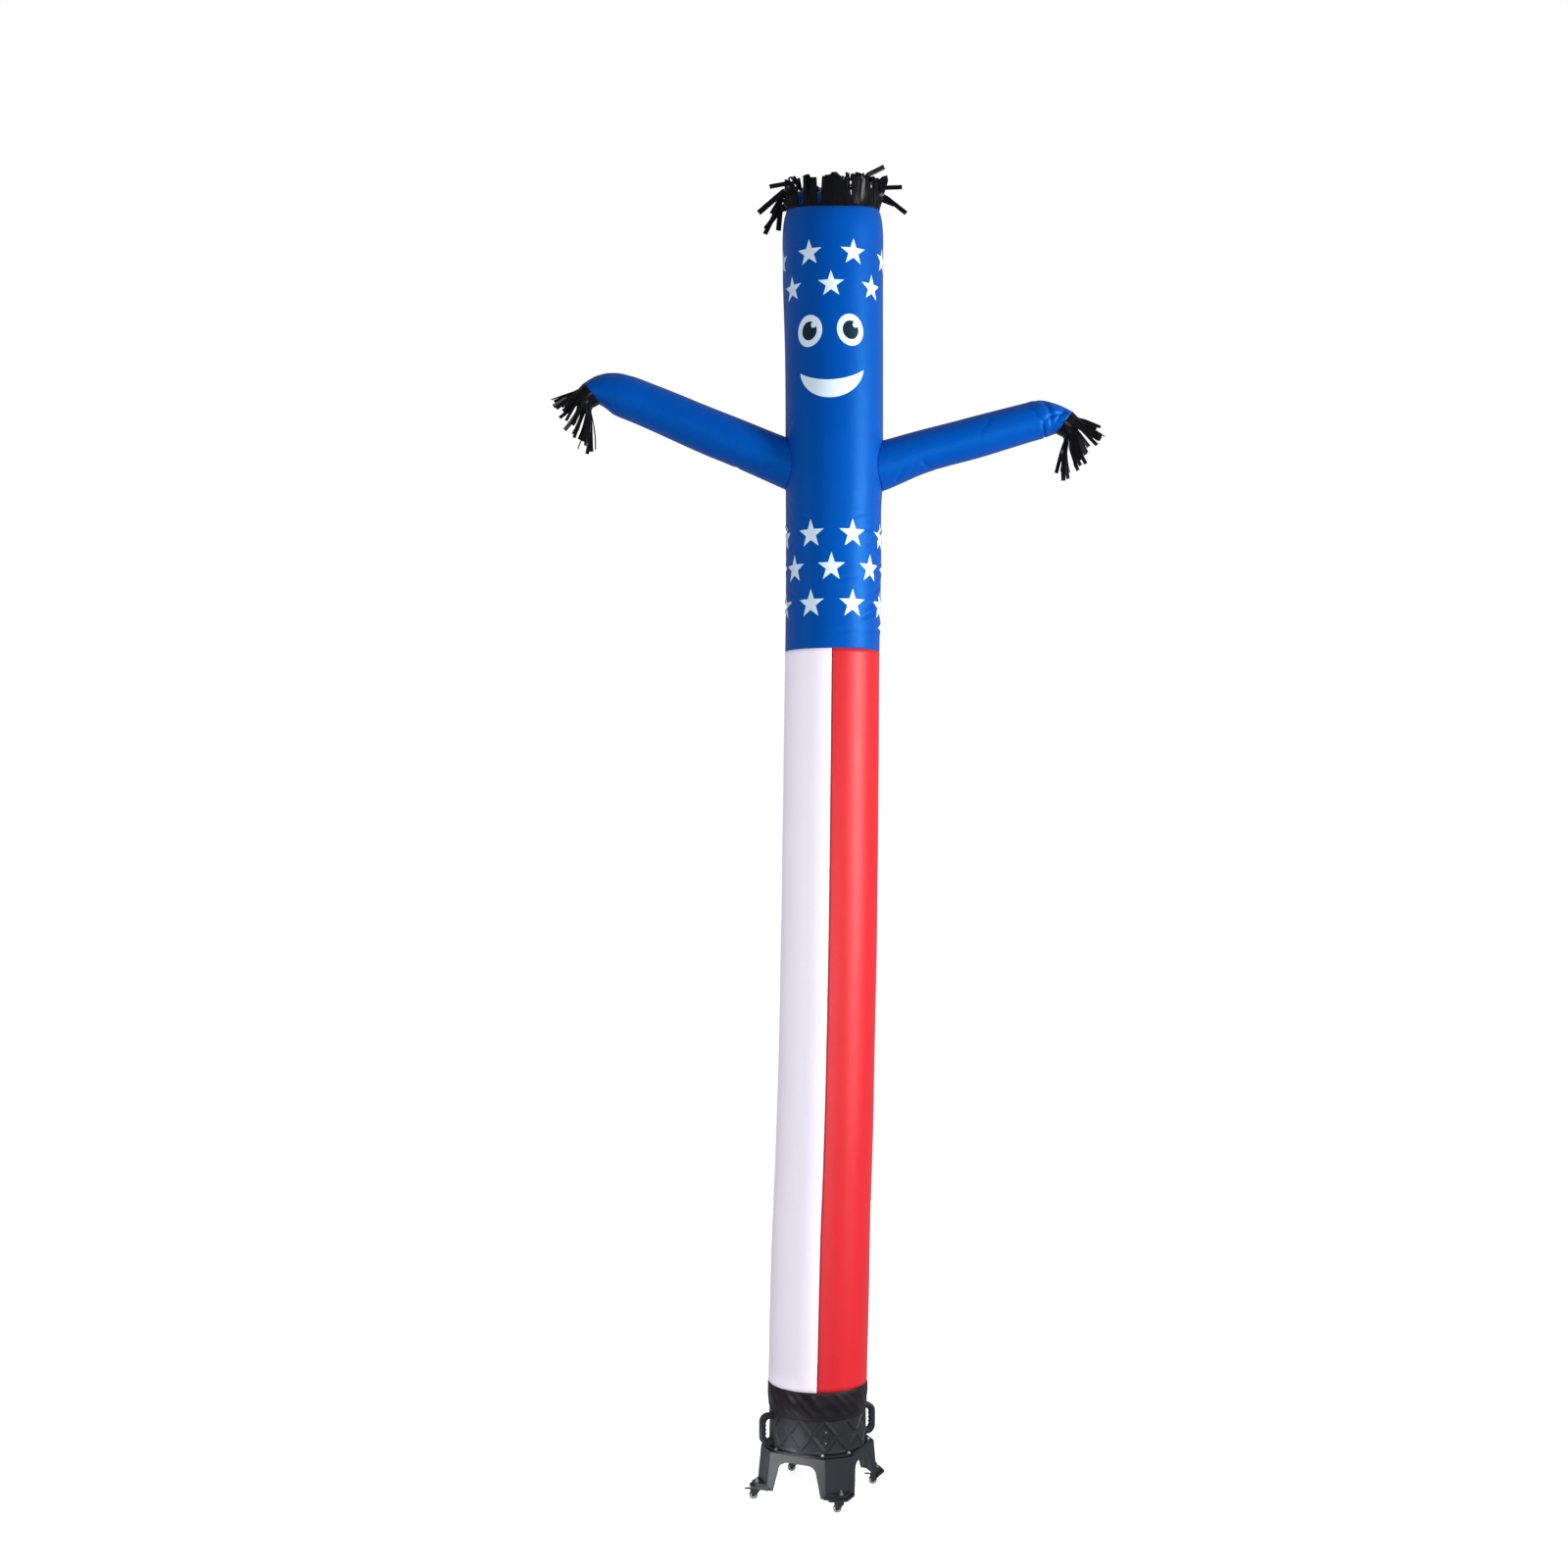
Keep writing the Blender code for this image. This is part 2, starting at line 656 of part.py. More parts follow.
def drum(parent):
    profile = (
        (NECK_RADIUS, NECK_TOP),
        (NECK_RADIUS, NECK_BOTTOM),
        (DRUM_RADIUS + 0.0015, NECK_BOTTOM - 0.001),
        (DRUM_RADIUS + 0.0015, LIP_BOTTOM),
        (DRUM_RADIUS, LIP_BOTTOM - 0.002),
        (DRUM_RADIUS, DECK_TOP + GAP),
        (DRUM_BORE, DECK_TOP + GAP),
        (DRUM_BORE, NECK_TOP),
    )
    made = turned("drum", profile, "charcoal plastic", parent)
    outline = stand_outline(STAND_TOP_HALF - 0.001)
    foot = prism([(outline, DECK_TOP + GAP), (outline, DECK_TOP + FLANGE_THICKNESS)])
    disc = cylinder(FLANGE_REACH, 0.2, 0.3)
    flange = cutter("flange", foot, parent, turn=LEG_TURN)
    boolean(flange, cutter("flange_disc", disc, parent, turn=FACET_TURN), "INTERSECT")
    bore = cutter("flange_bore", cylinder(DRUM_BORE + 0.003, 0.2, 0.3), parent, turn=FACET_TURN)
    boolean(flange, bore)
    boolean(made, flange, "UNION")


def blower_rim(parent):
    profile = (
        (BLOWER_RIM_RADIUS - 0.003, RIM_TOP),
        (BLOWER_RIM_RADIUS, RIM_TOP - 0.003),
        (BLOWER_RIM_RADIUS, NECK_TOP + GAP),
        (DRUM_BORE, NECK_TOP + GAP),
        (DRUM_BORE, RIM_TOP),
    )
    turned("rim", profile, "charcoal plastic", parent)


def hook_band(parent):
    inner = NECK_RADIUS + GAP
    low, high = NECK_BOTTOM + GAP, NECK_TOP - GAP
    profile = ((HOOK_RADIUS, high), (HOOK_RADIUS, low), (inner, low), (inner, high))
    turned("hook_band", profile, "hook band", parent)


def grille(parent):
    """Domed guard in one piece: hub disc, wire rings and spokes, kept from a net of polar cells."""
    reach = DRUM_BORE - 0.0008
    wires = 4
    hub = 0.055
    wire = 0.003
    radii = [0.012, hub]
    for k in range(1, wires + 1):
        middle = hub + (reach - wire / 2 - hub) * k / wires
        radii += [middle - wire / 2, middle + wire / 2]
    spoke = 1.0
    turns = []
    for k in range(TURNED_SIDES):
        start = 360 * k / TURNED_SIDES
        turns += [start, start + spoke] if k % 8 == 4 else [start]
    rings = []
    for radius in radii:
        height = 0.4895 + 0.011 * (1 - (radius / reach) ** 2)
        # The guard's corners are the rim's, so a spoke's second edge lies on the facet's chord.
        ring = []
        for turn in turns:
            aside = math.radians(turn % (360 / TURNED_SIDES) - 180 / TURNED_SIDES)
            chord = math.cos(math.pi / TURNED_SIDES) / math.cos(aside)
            ring.append(round_axis(turn + FACET_TURN, radius * chord, height))
        rings.append(ring)
    bm = loft(rings)
    bm.faces.ensure_lookup_table()
    holes = []
    for row in range(1, len(radii) - 1, 2):
        for k, turn in enumerate(turns):
            width = (turns[(k + 1) % len(turns)] - turn) % 360
            if width > spoke + 0.1:
                holes.append(bm.faces[row * len(turns) + k])
    bmesh.ops.delete(bm, geom=holes, context="FACES")
    made = add("grille", bm, "black wire", parent)
    thicken(made, 0.003)


def handle(name, turn, parent):
    """Grip standing out from the drum, both its feet flat against one facet."""
    back = DRUM_RADIUS * math.cos(math.pi / TURNED_SIDES) + GAP
    middle = (HANDLE_BOTTOM + HANDLE_TOP) / 2
    high = (HANDLE_TOP - HANDLE_BOTTOM) / 2
    outer = rounded_grip(back, HANDLE_REACH, high, 0.040)
    inner = rounded_grip(back - 0.02, HANDLE_REACH - HANDLE_BAR, high - HANDLE_BAR, 0.022)
    half = HANDLE_THICKNESS / 2
    solid = loft([[(x, y, z + middle) for y, z in outer] for x in (-half, half)], caps=True)
    finger = loft([[(x, y, z + middle) for y, z in inner] for x in (-half - 0.01, half + 0.01)], caps=True)
    made = add(name, solid, "charcoal plastic", parent, turn=turn, smooth=False)
    boolean(made, cutter(f"{name}_gap", finger, parent, turn=turn))
    bevel = made.modifiers.new("Edges", "BEVEL")
    bevel.width = 0.004
    bevel.segments = 1
    bevel.limit_method = "ANGLE"
    bevel.angle_limit = math.radians(60)


def rounded_grip(back, reach, high, corner):
    """Y and Z of a plate from the drum out to its reach, outer corners round, anticlockwise from +X."""
    points = [(-back, high), (-back, -high)]
    steps = 4
    arcs = (((-reach + corner, -high + corner), 270), ((-reach + corner, high - corner), 180))
    rounded = []
    for (y, z), start in arcs:
        for k in range(steps + 1):
            angle = math.radians(start - 90 * k / steps)
            rounded.append((y + corner * math.cos(angle), z + corner * math.sin(angle)))
    return (points + rounded)[::-1]


def base_bolt(name, turn, parent):
    bottom = DECK_TOP + FLANGE_THICKNESS + GAP
    profile = ((0, 0.0085), (0.0045, 0.0070), (0.0070, 0.0030), (0.0095, 0.0025), (0.0095, 0), (0, 0))
    place = round_axis(turn, BOLT_CIRCLE, bottom)
    turned(name, profile, "zinc steel", parent, place, sides=10, closed=False)


def tether(parent):
    """Small strap plate on the drum with a loop, and the D ring that the loop holds."""
    face = DRUM_RADIUS * math.cos(math.pi / TURNED_SIDES) + GAP
    plate = box((-0.011, -face - 0.0025, 0.286), (0.011, -face, 0.352))
    made = add("tether_plate", plate, "charcoal plastic", parent, turn=TETHER_TURN, smooth=False)
    loop = box((-0.009, -face - 0.0095, 0.312), (0.009, -face - 0.0015, 0.327))
    boolean(made, cutter("tether_loop", loop, parent, turn=TETHER_TURN), "UNION")
    bar_way = -face - 0.0055
    slot = box((-0.02, bar_way - 0.0022, 0.3173), (0.02, bar_way + 0.0022, 0.3217))
    boolean(made, cutter("tether_slot", slot, parent, turn=TETHER_TURN))
    curve = bpy.data.curves.new("tether_ring", "CURVE")
    curve.dimensions = "3D"
    curve.bevel_depth = 0.0017
    curve.bevel_resolution = 1
    spline = curve.splines.new("POLY")
    half, level = 0.0145, 0.3195
    corners = [(-half, level), (half, level), (half, level - 0.010)]
    for degrees in (-25, -60, -90, -120, -155):
        bend_angle = math.radians(degrees)
        corners.append((half * math.cos(bend_angle), level - 0.012 + half * math.sin(bend_angle)))
    corners.append((-half, level - 0.010))
    spline.points.add(len(corners) - 1)
    for point, (x, z) in zip(spline.points, corners):
        point.co = (x, bar_way, z, 1)
    spline.use_cyclic_u = True
    ring = bpy.data.objects.new("tether_ring", curve)
    curve.materials.append(MATERIALS["zinc steel"])
    PARTS.objects.link(ring)
    ring.parent = parent
    ring.rotation_euler.z = math.radians(TETHER_TURN)


# Casters


def caster(number, parent):
    """Stem and nut in the foot, then the fork, wheel and brake pedal that turn below it."""
    place = round_axis(LEG_TURN + 90 * (number - 1), CASTER_RADIUS, 0)
    pad_top = PAD_STEPS[-1][1]
    stem = ((0, 0.022), (STEM_RADIUS, 0.020), (STEM_RADIUS, 0.010), (0.0078, 0.009), (0.0078, 0.003),
            (0.0110, 0.0025), (0.0110, GAP), (STEM_RADIUS, GAP), (STEM_RADIUS, -0.0235), (0, -0.0235))
    turned(f"caster_{number}_stem", stem, "zinc steel", parent, place + Vector((0, 0, pad_top)), 12, False)
    swivel = empty(f"caster_{number}_swivel", place, parent)
    fork(f"caster_{number}_fork", swivel)
    wheel(f"caster_{number}_wheel", swivel)
    pedal(f"caster_{number}_pedal", swivel)


def side_plate(outline, half):
    """A solid of an outline in X and Z, anticlockwise seen from -Y, out to half on each side."""
    return loft([[(x, y, z) for x, z in outline] for y in (half, -half)], caps=True)


def fork(name, swivel):
    outline = ((-0.0245, 0.013), (-0.0115, 0.013), (0.013, 0.040), (0.013, 0.050),
               (-0.014, 0.050), (-0.031, 0.0455), (-0.031, 0.037))
    made = add(name, side_plate(outline, SLOT_HALF + CHEEK), "zinc steel", swivel, smooth=False)
    head = cutter(f"{name}_head", cylinder(0.0125, 0.047, FOOT_BOTTOM - GAP, sides=16), swivel)
    boolean(made, head, "UNION")
    slot = box((-0.06, -SLOT_HALF, 0), (0.06, SLOT_HALF, 0.0425))
    boolean(made, cutter(f"{name}_slot", slot, swivel))
    rear = box((-0.06, -SLOT_HALF, 0.03), (-0.0205, SLOT_HALF, 0.07))
    boolean(made, cutter(f"{name}_rear", rear, swivel))
    reach = SLOT_HALF + CHEEK + 0.0012
    axle = lay_down(cylinder(AXLE_RADIUS, -reach, reach, sides=12))
    boolean(made, cutter(f"{name}_axle", axle, swivel, (-TRAIL, 0, WHEEL_RADIUS)), "UNION")


def wheel(name, swivel):
    """Tyre on its hub, with one flat of its rim on the floor."""
    rim = WHEEL_RADIUS / math.cos(math.pi / WHEEL_SIDES)
    half = WHEEL_WIDTH / 2
    profile = ((AXLE_RADIUS + 0.0004, half + 0.0010), (0.0105, half), (rim, half - 0.0015))
    profile += tuple((radius, -height) for radius, height in reversed(profile))
    made = turned(name, profile, "wheel rubber", swivel, (-TRAIL, 0, WHEEL_RADIUS), WHEEL_SIDES)
    made.rotation_euler = (math.radians(90), math.radians(180 / WHEEL_SIDES), 0)


def pedal(name, swivel):
    """Brake pedal on its barrel between the fork's cheeks."""
    plate = ((0.0, 0.0030), (-0.0035, 0.0008), (-0.0095, 0.0062), (-0.0290, 0.0058), (-0.0315, 0.0042),
             (-0.0315, 0.0062), (-0.0292, 0.0080), (-0.0100, 0.0084))
    made = add(name, side_plate(plate, SLOT_HALF - 0.0008), "zinc steel", swivel,
               (PEDAL_PIVOT[0], 0, PEDAL_PIVOT[1]), smooth=False)
    barrel = lay_down(cylinder(0.0030, -SLOT_HALF + GAP, SLOT_HALF - GAP, sides=12))
    boolean(made, cutter(f"{name}_barrel", barrel, swivel, (PEDAL_PIVOT[0], 0, PEDAL_PIVOT[1])), "UNION")


def build():
    dancer = empty("air_dancer", (BLOWER_X, 0, 0))
    upper_tube(dancer)
    torso = torso_cutter(dancer)
    for name, table, side in (("left", LEFT_ARM, -1), ("right", RIGHT_ARM, 1)):
        boolean(bpy.data.objects["upper_tube"], armhole(f"armhole_{name}", table, side, dancer))
        arm(f"arm_{name}", table, side, torso, dancer)
        hand_fringe(f"hand_fringe_{name}", table, side, dancer)
    head_cap(dancer)
    head_fringe(dancer)
    panel("panel_red", SEAM_TURN, "red nylon", dancer)
    panel("panel_white", SEAM_TURN - 180, "white nylon", dancer)
    collar(dancer)
    stand(dancer)
    drum(dancer)
    blower_rim(dancer)
    hook_band(dancer)
    grille(dancer)
    for name, turn in HANDLE_TURNS.items():
        handle(f"handle_{name}", turn, dancer)
    for k in range(8):
        turn = LEG_TURN + 90 * (k // 2) + (BOLT_SPREAD if k % 2 else -BOLT_SPREAD)
        base_bolt(f"base_bolt_{k + 1}", turn, dancer)
    tether(dancer)
    for number in range(1, 5):
        caster(number, dancer)


# A facet of each turned part faces each leg.
FACET_TURN = LEG_TURN + 180 / TURNED_SIDES

for leftover in list(bpy.data.objects):
    bpy.data.objects.remove(leftover, do_unlink=True)
PARTS = collection("Air dancer")
CUTTERS = collection("Cutters")
MATERIALS = {name: material(name) for name in COLORS}
build()
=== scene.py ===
"""Looks of the inflatable air dancer: printed nylon tube, arms, cut-strip fringes, wrinkled collar,
and the moulded blower on casters. Metres, in the frame's own axes: +Z up, the face towards -Y."""

import random
from math import atan2, cos, degrees, pi, radians, sin, tau

import bpy
import numpy as np
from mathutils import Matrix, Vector

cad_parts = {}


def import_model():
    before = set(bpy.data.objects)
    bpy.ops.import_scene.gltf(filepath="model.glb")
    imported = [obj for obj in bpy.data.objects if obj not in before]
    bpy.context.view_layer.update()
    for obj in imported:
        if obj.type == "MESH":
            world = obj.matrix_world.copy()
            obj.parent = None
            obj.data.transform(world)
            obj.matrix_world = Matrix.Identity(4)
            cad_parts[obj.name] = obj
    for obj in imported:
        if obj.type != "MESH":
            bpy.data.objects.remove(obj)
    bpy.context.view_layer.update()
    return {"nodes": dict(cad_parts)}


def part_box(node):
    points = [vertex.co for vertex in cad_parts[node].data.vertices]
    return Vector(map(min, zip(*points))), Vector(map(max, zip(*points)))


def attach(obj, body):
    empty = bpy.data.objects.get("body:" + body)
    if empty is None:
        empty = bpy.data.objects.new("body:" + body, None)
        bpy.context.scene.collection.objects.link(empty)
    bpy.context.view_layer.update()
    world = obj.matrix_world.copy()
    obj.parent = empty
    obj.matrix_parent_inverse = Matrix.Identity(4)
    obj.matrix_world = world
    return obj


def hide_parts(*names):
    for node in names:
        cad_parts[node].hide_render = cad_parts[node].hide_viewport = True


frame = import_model()
BODY = "dancer"


def middle_x(node):
    low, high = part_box(node)
    return (low[0] + high[0]) / 2


MM = 0.001

# Driving dimensions, the same as the frame's
BLOWER_X = middle_x("rim")
CLOTH = 0.0012
SEAM_TURN = -2
PANEL_BOTTOM = 0.526
PANEL_TOP = 3.935
TUBE_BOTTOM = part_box("upper_tube")[0][2]
RIM_HEIGHT = 5.962
RIM_SIDE_RISE = 0.035
RIM_RADIUS = 0.2135
SHOULDER_HEIGHT = 5.86
DRUM_RADIUS = 0.221

# Standing tube: height, centre to the right of the blower's axis, radius
TUBE_SECTIONS = (
    (0.526, 0, 0.2315),
    (0.97, 0.01, 0.232),
    (1.25, 0.017, 0.23),
    (1.53, 0.028, 0.2277),
    (1.94, 0.04, 0.2255),
    (2.63, 0.054, 0.225),
    (3.28, 0.062, 0.224),
    (3.87, 0.068, 0.2215),
    (4.35, 0.0745, 0.223),
    (4.6, 0.0745, 0.224),
    (4.73, 0.0775, 0.2277),
    (5.32, 0.077, 0.23),
    (5.66, 0.072, 0.2346),
    (5.86, 0.0715, 0.2365),
)

# Creases of the waist: height, turn, half span in degrees, then depth, half height and rise for
# each degree of turn in millimetres
WAIST_CREASES = (
    (4.5, -92, 40, 8.5, 9, 0.2),
    (4.476, 88, 46, 11, 10, -0.25),
    (4.33, -100, 30, 6, 9, -0.3),
    (4.322, 92, 38, 9, 9, 0.35),
    (4.15, -88, 46, 12, 10, 0.25),
    (4.16, 90, 40, 13, 9, 0.6),
    (4.052, 90, 40, 12.5, 9, 0.9),
    (4.16, 146, 30, 6, 10, 0.2),
    (4.4, 178, 40, 7, 12, 0.1),
    (4.24, 188, 46, 6, 11, -0.15),
    (4.15, 58, 20, 8.5, 7, 2.3),
    (4.215, 64, 18, 7, 7, 2),
    (4.095, 52, 20, 7, 7, 1.8),
    (4.28, 70, 18, 6, 7, 1.5),
    (4.385, 66, 20, 6.5, 8, -1.6),
    (4.43, 58, 18, 4.5, 7, 1.4),
    (4.205, -64, 18, 6, 8, -1.9),
    (4.4, -66, 18, 5.5, 8, 1.5),
    (4.3, -70, 16, 4.5, 7, 1.2),
    (4.56, 40, 22, 2.5, 10, 0.8),
    (4.545, -40, 20, 2.2, 10, -0.9),
    (4.02, 20, 30, 1.6, 10, 0.5),
    (4.255, 12, 26, 1.4, 9, 0.7),
)

# Arms: way along, reach from the blower's axis, height, heading in degrees, half height, half depth
LEFT_ARM = (
    (0, 0.045, 4.778, 23, 0.116, 0.116),
    (0.11, 0.146, 4.821, 23, 0.113, 0.113),
    (0.38, 0.392, 4.924, 22.5, 0.1085, 0.1085),
    (0.53, 0.532, 4.981, 22.5, 0.107, 0.107),
    (0.82, 0.802, 5.096, 22, 0.1015, 0.1015),
    (0.95, 0.926, 5.143, 14, 0.098, 0.1),
    (1.02, 0.998, 5.157, -8, 0.083, 0.09),
    (1.09, 1.062, 5.148, -38, 0.059, 0.078),
)
RIGHT_ARM = (
    (0, 0.2, 4.783, 17, 0.118, 0.118),
    (0.1, 0.302, 4.811, 16, 0.113, 0.113),
    (0.29, 0.486, 4.875, 15, 0.0995, 0.0995),
    (0.57, 0.759, 4.949, 15.5, 0.0965, 0.0965),
    (0.81, 0.992, 5.015, 15, 0.0905, 0.0925),
    (0.87, 1.043, 5.027, 6, 0.09, 0.093),
    (0.93, 1.1, 5.022, -16, 0.078, 0.086),
    (0.99, 1.158, 5.013, -37, 0.0615, 0.078),
)

# Head cap: share of the rim's radius, shift to the right, rise above the rim
CAP_SECTIONS = (
    (1, 0, -0.01),
    (1, 0, 0.004),
    (0.86, -0.006, 0.044),
    (0.62, -0.016, 0.088),
    (0.38, -0.024, 0.112),
)
CAP_SAG = 0.26  # how much lower each ring is on the right, as a share of its rise
CAP_CLOTH = 0.16  # metres of cloth from the rim to the vent

# Collar: height, outer radius, swell of the gathers
COLLAR_SECTIONS = (
    (0.395, 0.2272, 0),
    (0.43, 0.2272, 0.0004),
    (0.456, 0.2294, 0.001),
    (0.472, 0.2314, 0.0008),
    (0.5, 0.2314, 0.0012),
    (0.5257, 0.2315, 0.0006),
)

# Prints. The face: turn of its middle, height of the eyes and of the mouth's corners
FACE_TURN = -6.4
EYE_HEIGHT = 5.392
EYE_ASIDE = 0.098
EYE_HALF = (0.064, 0.0728)
EYE_TILT = 9
PUPIL_HALF = (0.0382, 0.043)
GLINT_PLACE = (0.023, 0.025)
GLINT_RADIUS = 0.0133
MOUTH_TURN = -4.9
MOUTH_HEIGHT = 5.209
MOUTH_HALF = 0.158
MOUTH_DIPS = (0.046, 0.1275)  # drop of the upper and of the lower lip at the middle
MOUTH_RISE = 0.03  # how far it climbs to the right for each metre across
MOUTH_ROUND = 0.62  # below 1 blunts the corners of the lower lip

# Rows of stars: height, turn of one star, stars in the row, star's outer radius
STAR_ROWS = (
    (5.748, -29.3, 7, 0.063),
    (5.599, -3.8, 7, 0.062),
    (4.461, -29.5, 7, 0.069),
    (4.306, -3.9, 7, 0.068),
    (4.14, -28.9, 7, 0.069),
)
STAR_WAIST = 0.4  # inner radius of a star as a share of its outer one

# Camera: focal length and sensor in millimetres, distance, eye height, offsets in pixels of 1600
FRAME_PIXELS = 1600
SENSOR = 36
FOCAL_PIXELS = 1950
CAMERA_DISTANCE = 8.97
EYE_LEVEL = 3.11
AXIS_PIXEL = 834.3
HORIZON_PIXEL = 845


# Helpers for shapes


def smooth(rows, at):
    """The rows' other columns at values of the first one, on smooth curves through them."""
    keys, *columns = np.transpose(rows).astype(float)
    columns = np.array(columns)
    at = np.clip(np.asarray(at, float), keys[0], keys[-1])
    k = np.clip(np.searchsorted(keys, at, side="right") - 1, 0, len(keys) - 2)
    before, after = np.maximum(k - 1, 0), np.minimum(k + 2, len(keys) - 1)
    span = keys[k + 1] - keys[k]
    t = (at - keys[k]) / span
    leave = (columns[:, k + 1] - columns[:, before]) / (keys[k + 1] - keys[before]) * span
    arrive = (columns[:, after] - columns[:, k]) / (keys[after] - keys[k]) * span
    return (
        (2 * t**3 - 3 * t**2 + 1) * columns[:, k]
        + (t**3 - 2 * t**2 + t) * leave
        + (3 * t**2 - 2 * t**3) * columns[:, k + 1]
        + (t**3 - t**2) * arrive
    )


SHOULDER_CENTRE, SHOULDER_RADIUS = smooth(TUBE_SECTIONS, SHOULDER_HEIGHT)


def beside(*parts):
    """Arrays side by side along a new last axis."""
    return np.stack(np.broadcast_arrays(*parts), axis=-1)


def around(turn, radius, height, shift=0):
    """Points at a turn in degrees and a radius round the blower's axis, moved right by shift."""
    angle = np.radians(turn)
    x = BLOWER_X + shift + radius * np.sin(angle)
    return beside(x, -radius * np.cos(angle), height)


def ripple(u, v, waves, seed):
    """A soft uneven field from -1 to 1: a few crossed waves per unit of u and v."""
    chance = random.Random(seed)
    total = np.zeros(np.broadcast(u, v).shape)
    for _ in range(7):
        heading = chance.uniform(0, tau)
        pace = waves * chance.uniform(0.6, 1.6)
        phase = chance.uniform(0, tau)
        way = u * cos(heading) + v * sin(heading)
        total = total + np.sin(tau * pace * way + phase)
    return total / 4


def bump_at(x, middle, half):
    """1 at the middle, falling softly to 0."""
    return np.exp(-(((x - middle) / half) ** 2))


def apart(turn, other):
    """The degrees from one turn to another, from -180 to 180."""
    return (turn - other + 180) % 360 - 180


def link(obj):
    bpy.context.scene.collection.objects.link(obj)
    return obj


def quads(rows, columns, closed, keep=None):
    """Corners of a grid's quads, as rows and columns and as numbers of its points."""
    index = np.arange(rows * columns).reshape(rows, columns)
    if closed:
        index = np.hstack((index, index[:, :1]))
    if keep is None:
        keep = np.ones((rows - 1, index.shape[1] - 1), bool)
    at = np.argwhere(keep)[:, None, :] + ((0, 0), (0, 1), (1, 1), (1, 0))
    return at, index[at[..., 0], at[..., 1]]


def piece(name, points, faces, look, uvs=None):
    """A smooth-shaded mesh, with a UV for each corner of its faces."""
    mesh = bpy.data.meshes.new(name)
    mesh.from_pydata(points, [], faces)
    if uvs is not None:
        layer = mesh.uv_layers.new(name="Cloth")
        layer.data.foreach_set("uv", uvs.astype(np.float32).ravel())
    mesh.shade_smooth()
    mesh.materials.append(look.material)
    return link(bpy.data.objects.new(name, mesh))


def wall(made, thickness, offset):
    """Gives a sheet its thickness: inwards at an offset of -1, both ways at 0."""
    solidify = made.modifiers.new("Wall", "SOLIDIFY")
    solidify.thickness = thickness
    solidify.offset = offset


def grid(name, points, look, closed=False, uvs=None, keep=None):
    """A surface over rows and columns of points."""
    at, faces = quads(*points.shape[:2], closed, keep)
    if uvs is not None:
        uvs = uvs[at[..., 0], at[..., 1]]
    return piece(name, points.reshape(-1, 3).tolist(), faces.tolist(), look, uvs)


def belong(made, node=None):
    """Puts a piece on the figure's body, and in place of a CAD node."""
    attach(made, BODY)
    if node:
        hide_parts(node)


def sew(name, node, slot, points, uvs, look, girth, rests_on, closed=True, held="hung", keep=None):
    """A cloth over a grid of points, with its thickness."""
    made = grid(name, points, look, closed, uvs, keep)
    wall(made, CLOTH, -1)
    belong(made, node)


# Folds drawn as lines on the flat cloth. Start and end are each a turn in degrees and a height in
# metres (along the sleeve on an arm), then depth and half width in millimetres.
ARMPIT_FOLDS = (
    (-84, 4.66, -50, 4.6, 4.5, 14),
    (-82, 4.64, -56, 4.52, 3.5, 12),
    (-80, 4.69, -44, 4.72, 3, 12),
    (-84, 4.93, -54, 5.02, 3, 13),
    (84, 4.66, 50, 4.61, 5, 14),
    (82, 4.64, 58, 4.5, 4, 12),
    (80, 4.69, 46, 4.73, 3, 12),
    (84, 4.92, 56, 5.03, 3, 13),
)
LEFT_ARM_FOLDS = (
    (-60, 0.92, 40, 0.95, 1.4, 14),
    (200, 0.93, 285, 0.99, 2.6, 12),
    (190, 0.86, 250, 0.9, 1.2, 14),
    (-40, 1.03, 60, 1.01, 1.6, 10),
    (280, 1.05, 330, 0.97, 1.8, 9),
    (20, 0.97, 70, 1.04, 1.2, 9),
    (150, 0.3, 210, 0.36, 5, 12),
    (210, 0.2, 260, 0.14, 4.5, 12),
    (60, 0.6, 120, 0.52, 3, 13),
)
RIGHT_ARM_FOLDS = (
    (-30, 0.83, 60, 0.89, 4, 10),
    (40, 0.89, 130, 0.93, 10.5, 10),
    (60, 0.97, 110, 0.87, 9.5, 8),
    (120, 0.87, 220, 0.92, 9, 11),
    (50, 0.96, 150, 0.94, 8.5, 9),
    (100, 0.99, 150, 0.93, 7.5, 7),
    (80, 0.83, 120, 0.89, 6.5, 8),
    (20, 0.98, 70, 0.94, 5, 7),
    (130, 0.28, 190, 0.34, 5, 12),
    (150, 0.14, 110, 0.2, 5, 11),
    (60, 0.62, 110, 0.54, 3, 13),
)
ARMS = (("left", -1, LEFT_ARM, LEFT_ARM_FOLDS), ("right", 1, RIGHT_ARM, RIGHT_ARM_FOLDS))
TUBE_PER_DEGREE = 0.004  # metres of cloth for each degree of turn
SLEEVE_PER_DEGREE = 0.0018

# Grids of the cloth
TUBE_COLUMNS = 192
TUBE_ROWS = 232
ROW_SPREAD = (  # share of the rows, height
    (0, TUBE_BOTTOM),
    (0.05, 4),
    (0.55, 4.53),
    (0.82, 5.08),
    (1, SHOULDER_HEIGHT),
)
SHOULDER_ROWS = 10
SHOULDER_CLOTH = 0.105  # metres of cloth for each radian of the shoulder's turn
ARM_COLUMNS = 96
ARM_ROWS = 140
ARMHOLE_INSET = 0.01
PANEL_COLUMNS = 97
PANEL_ROWS = 180
PANEL_GAP = 0.0011  # from a panel's long edge to its seam
COLLAR_COLUMNS = 240
COLLAR_ROWS = 56
COLLAR_CREASE = 0.0021
GATHERS = 12
GATHER_SLANT = 900  # degrees round for each metre up
CAP_COLUMNS = 144
CAP_ROWS = 32
CAP_PUCKER = 0.0022

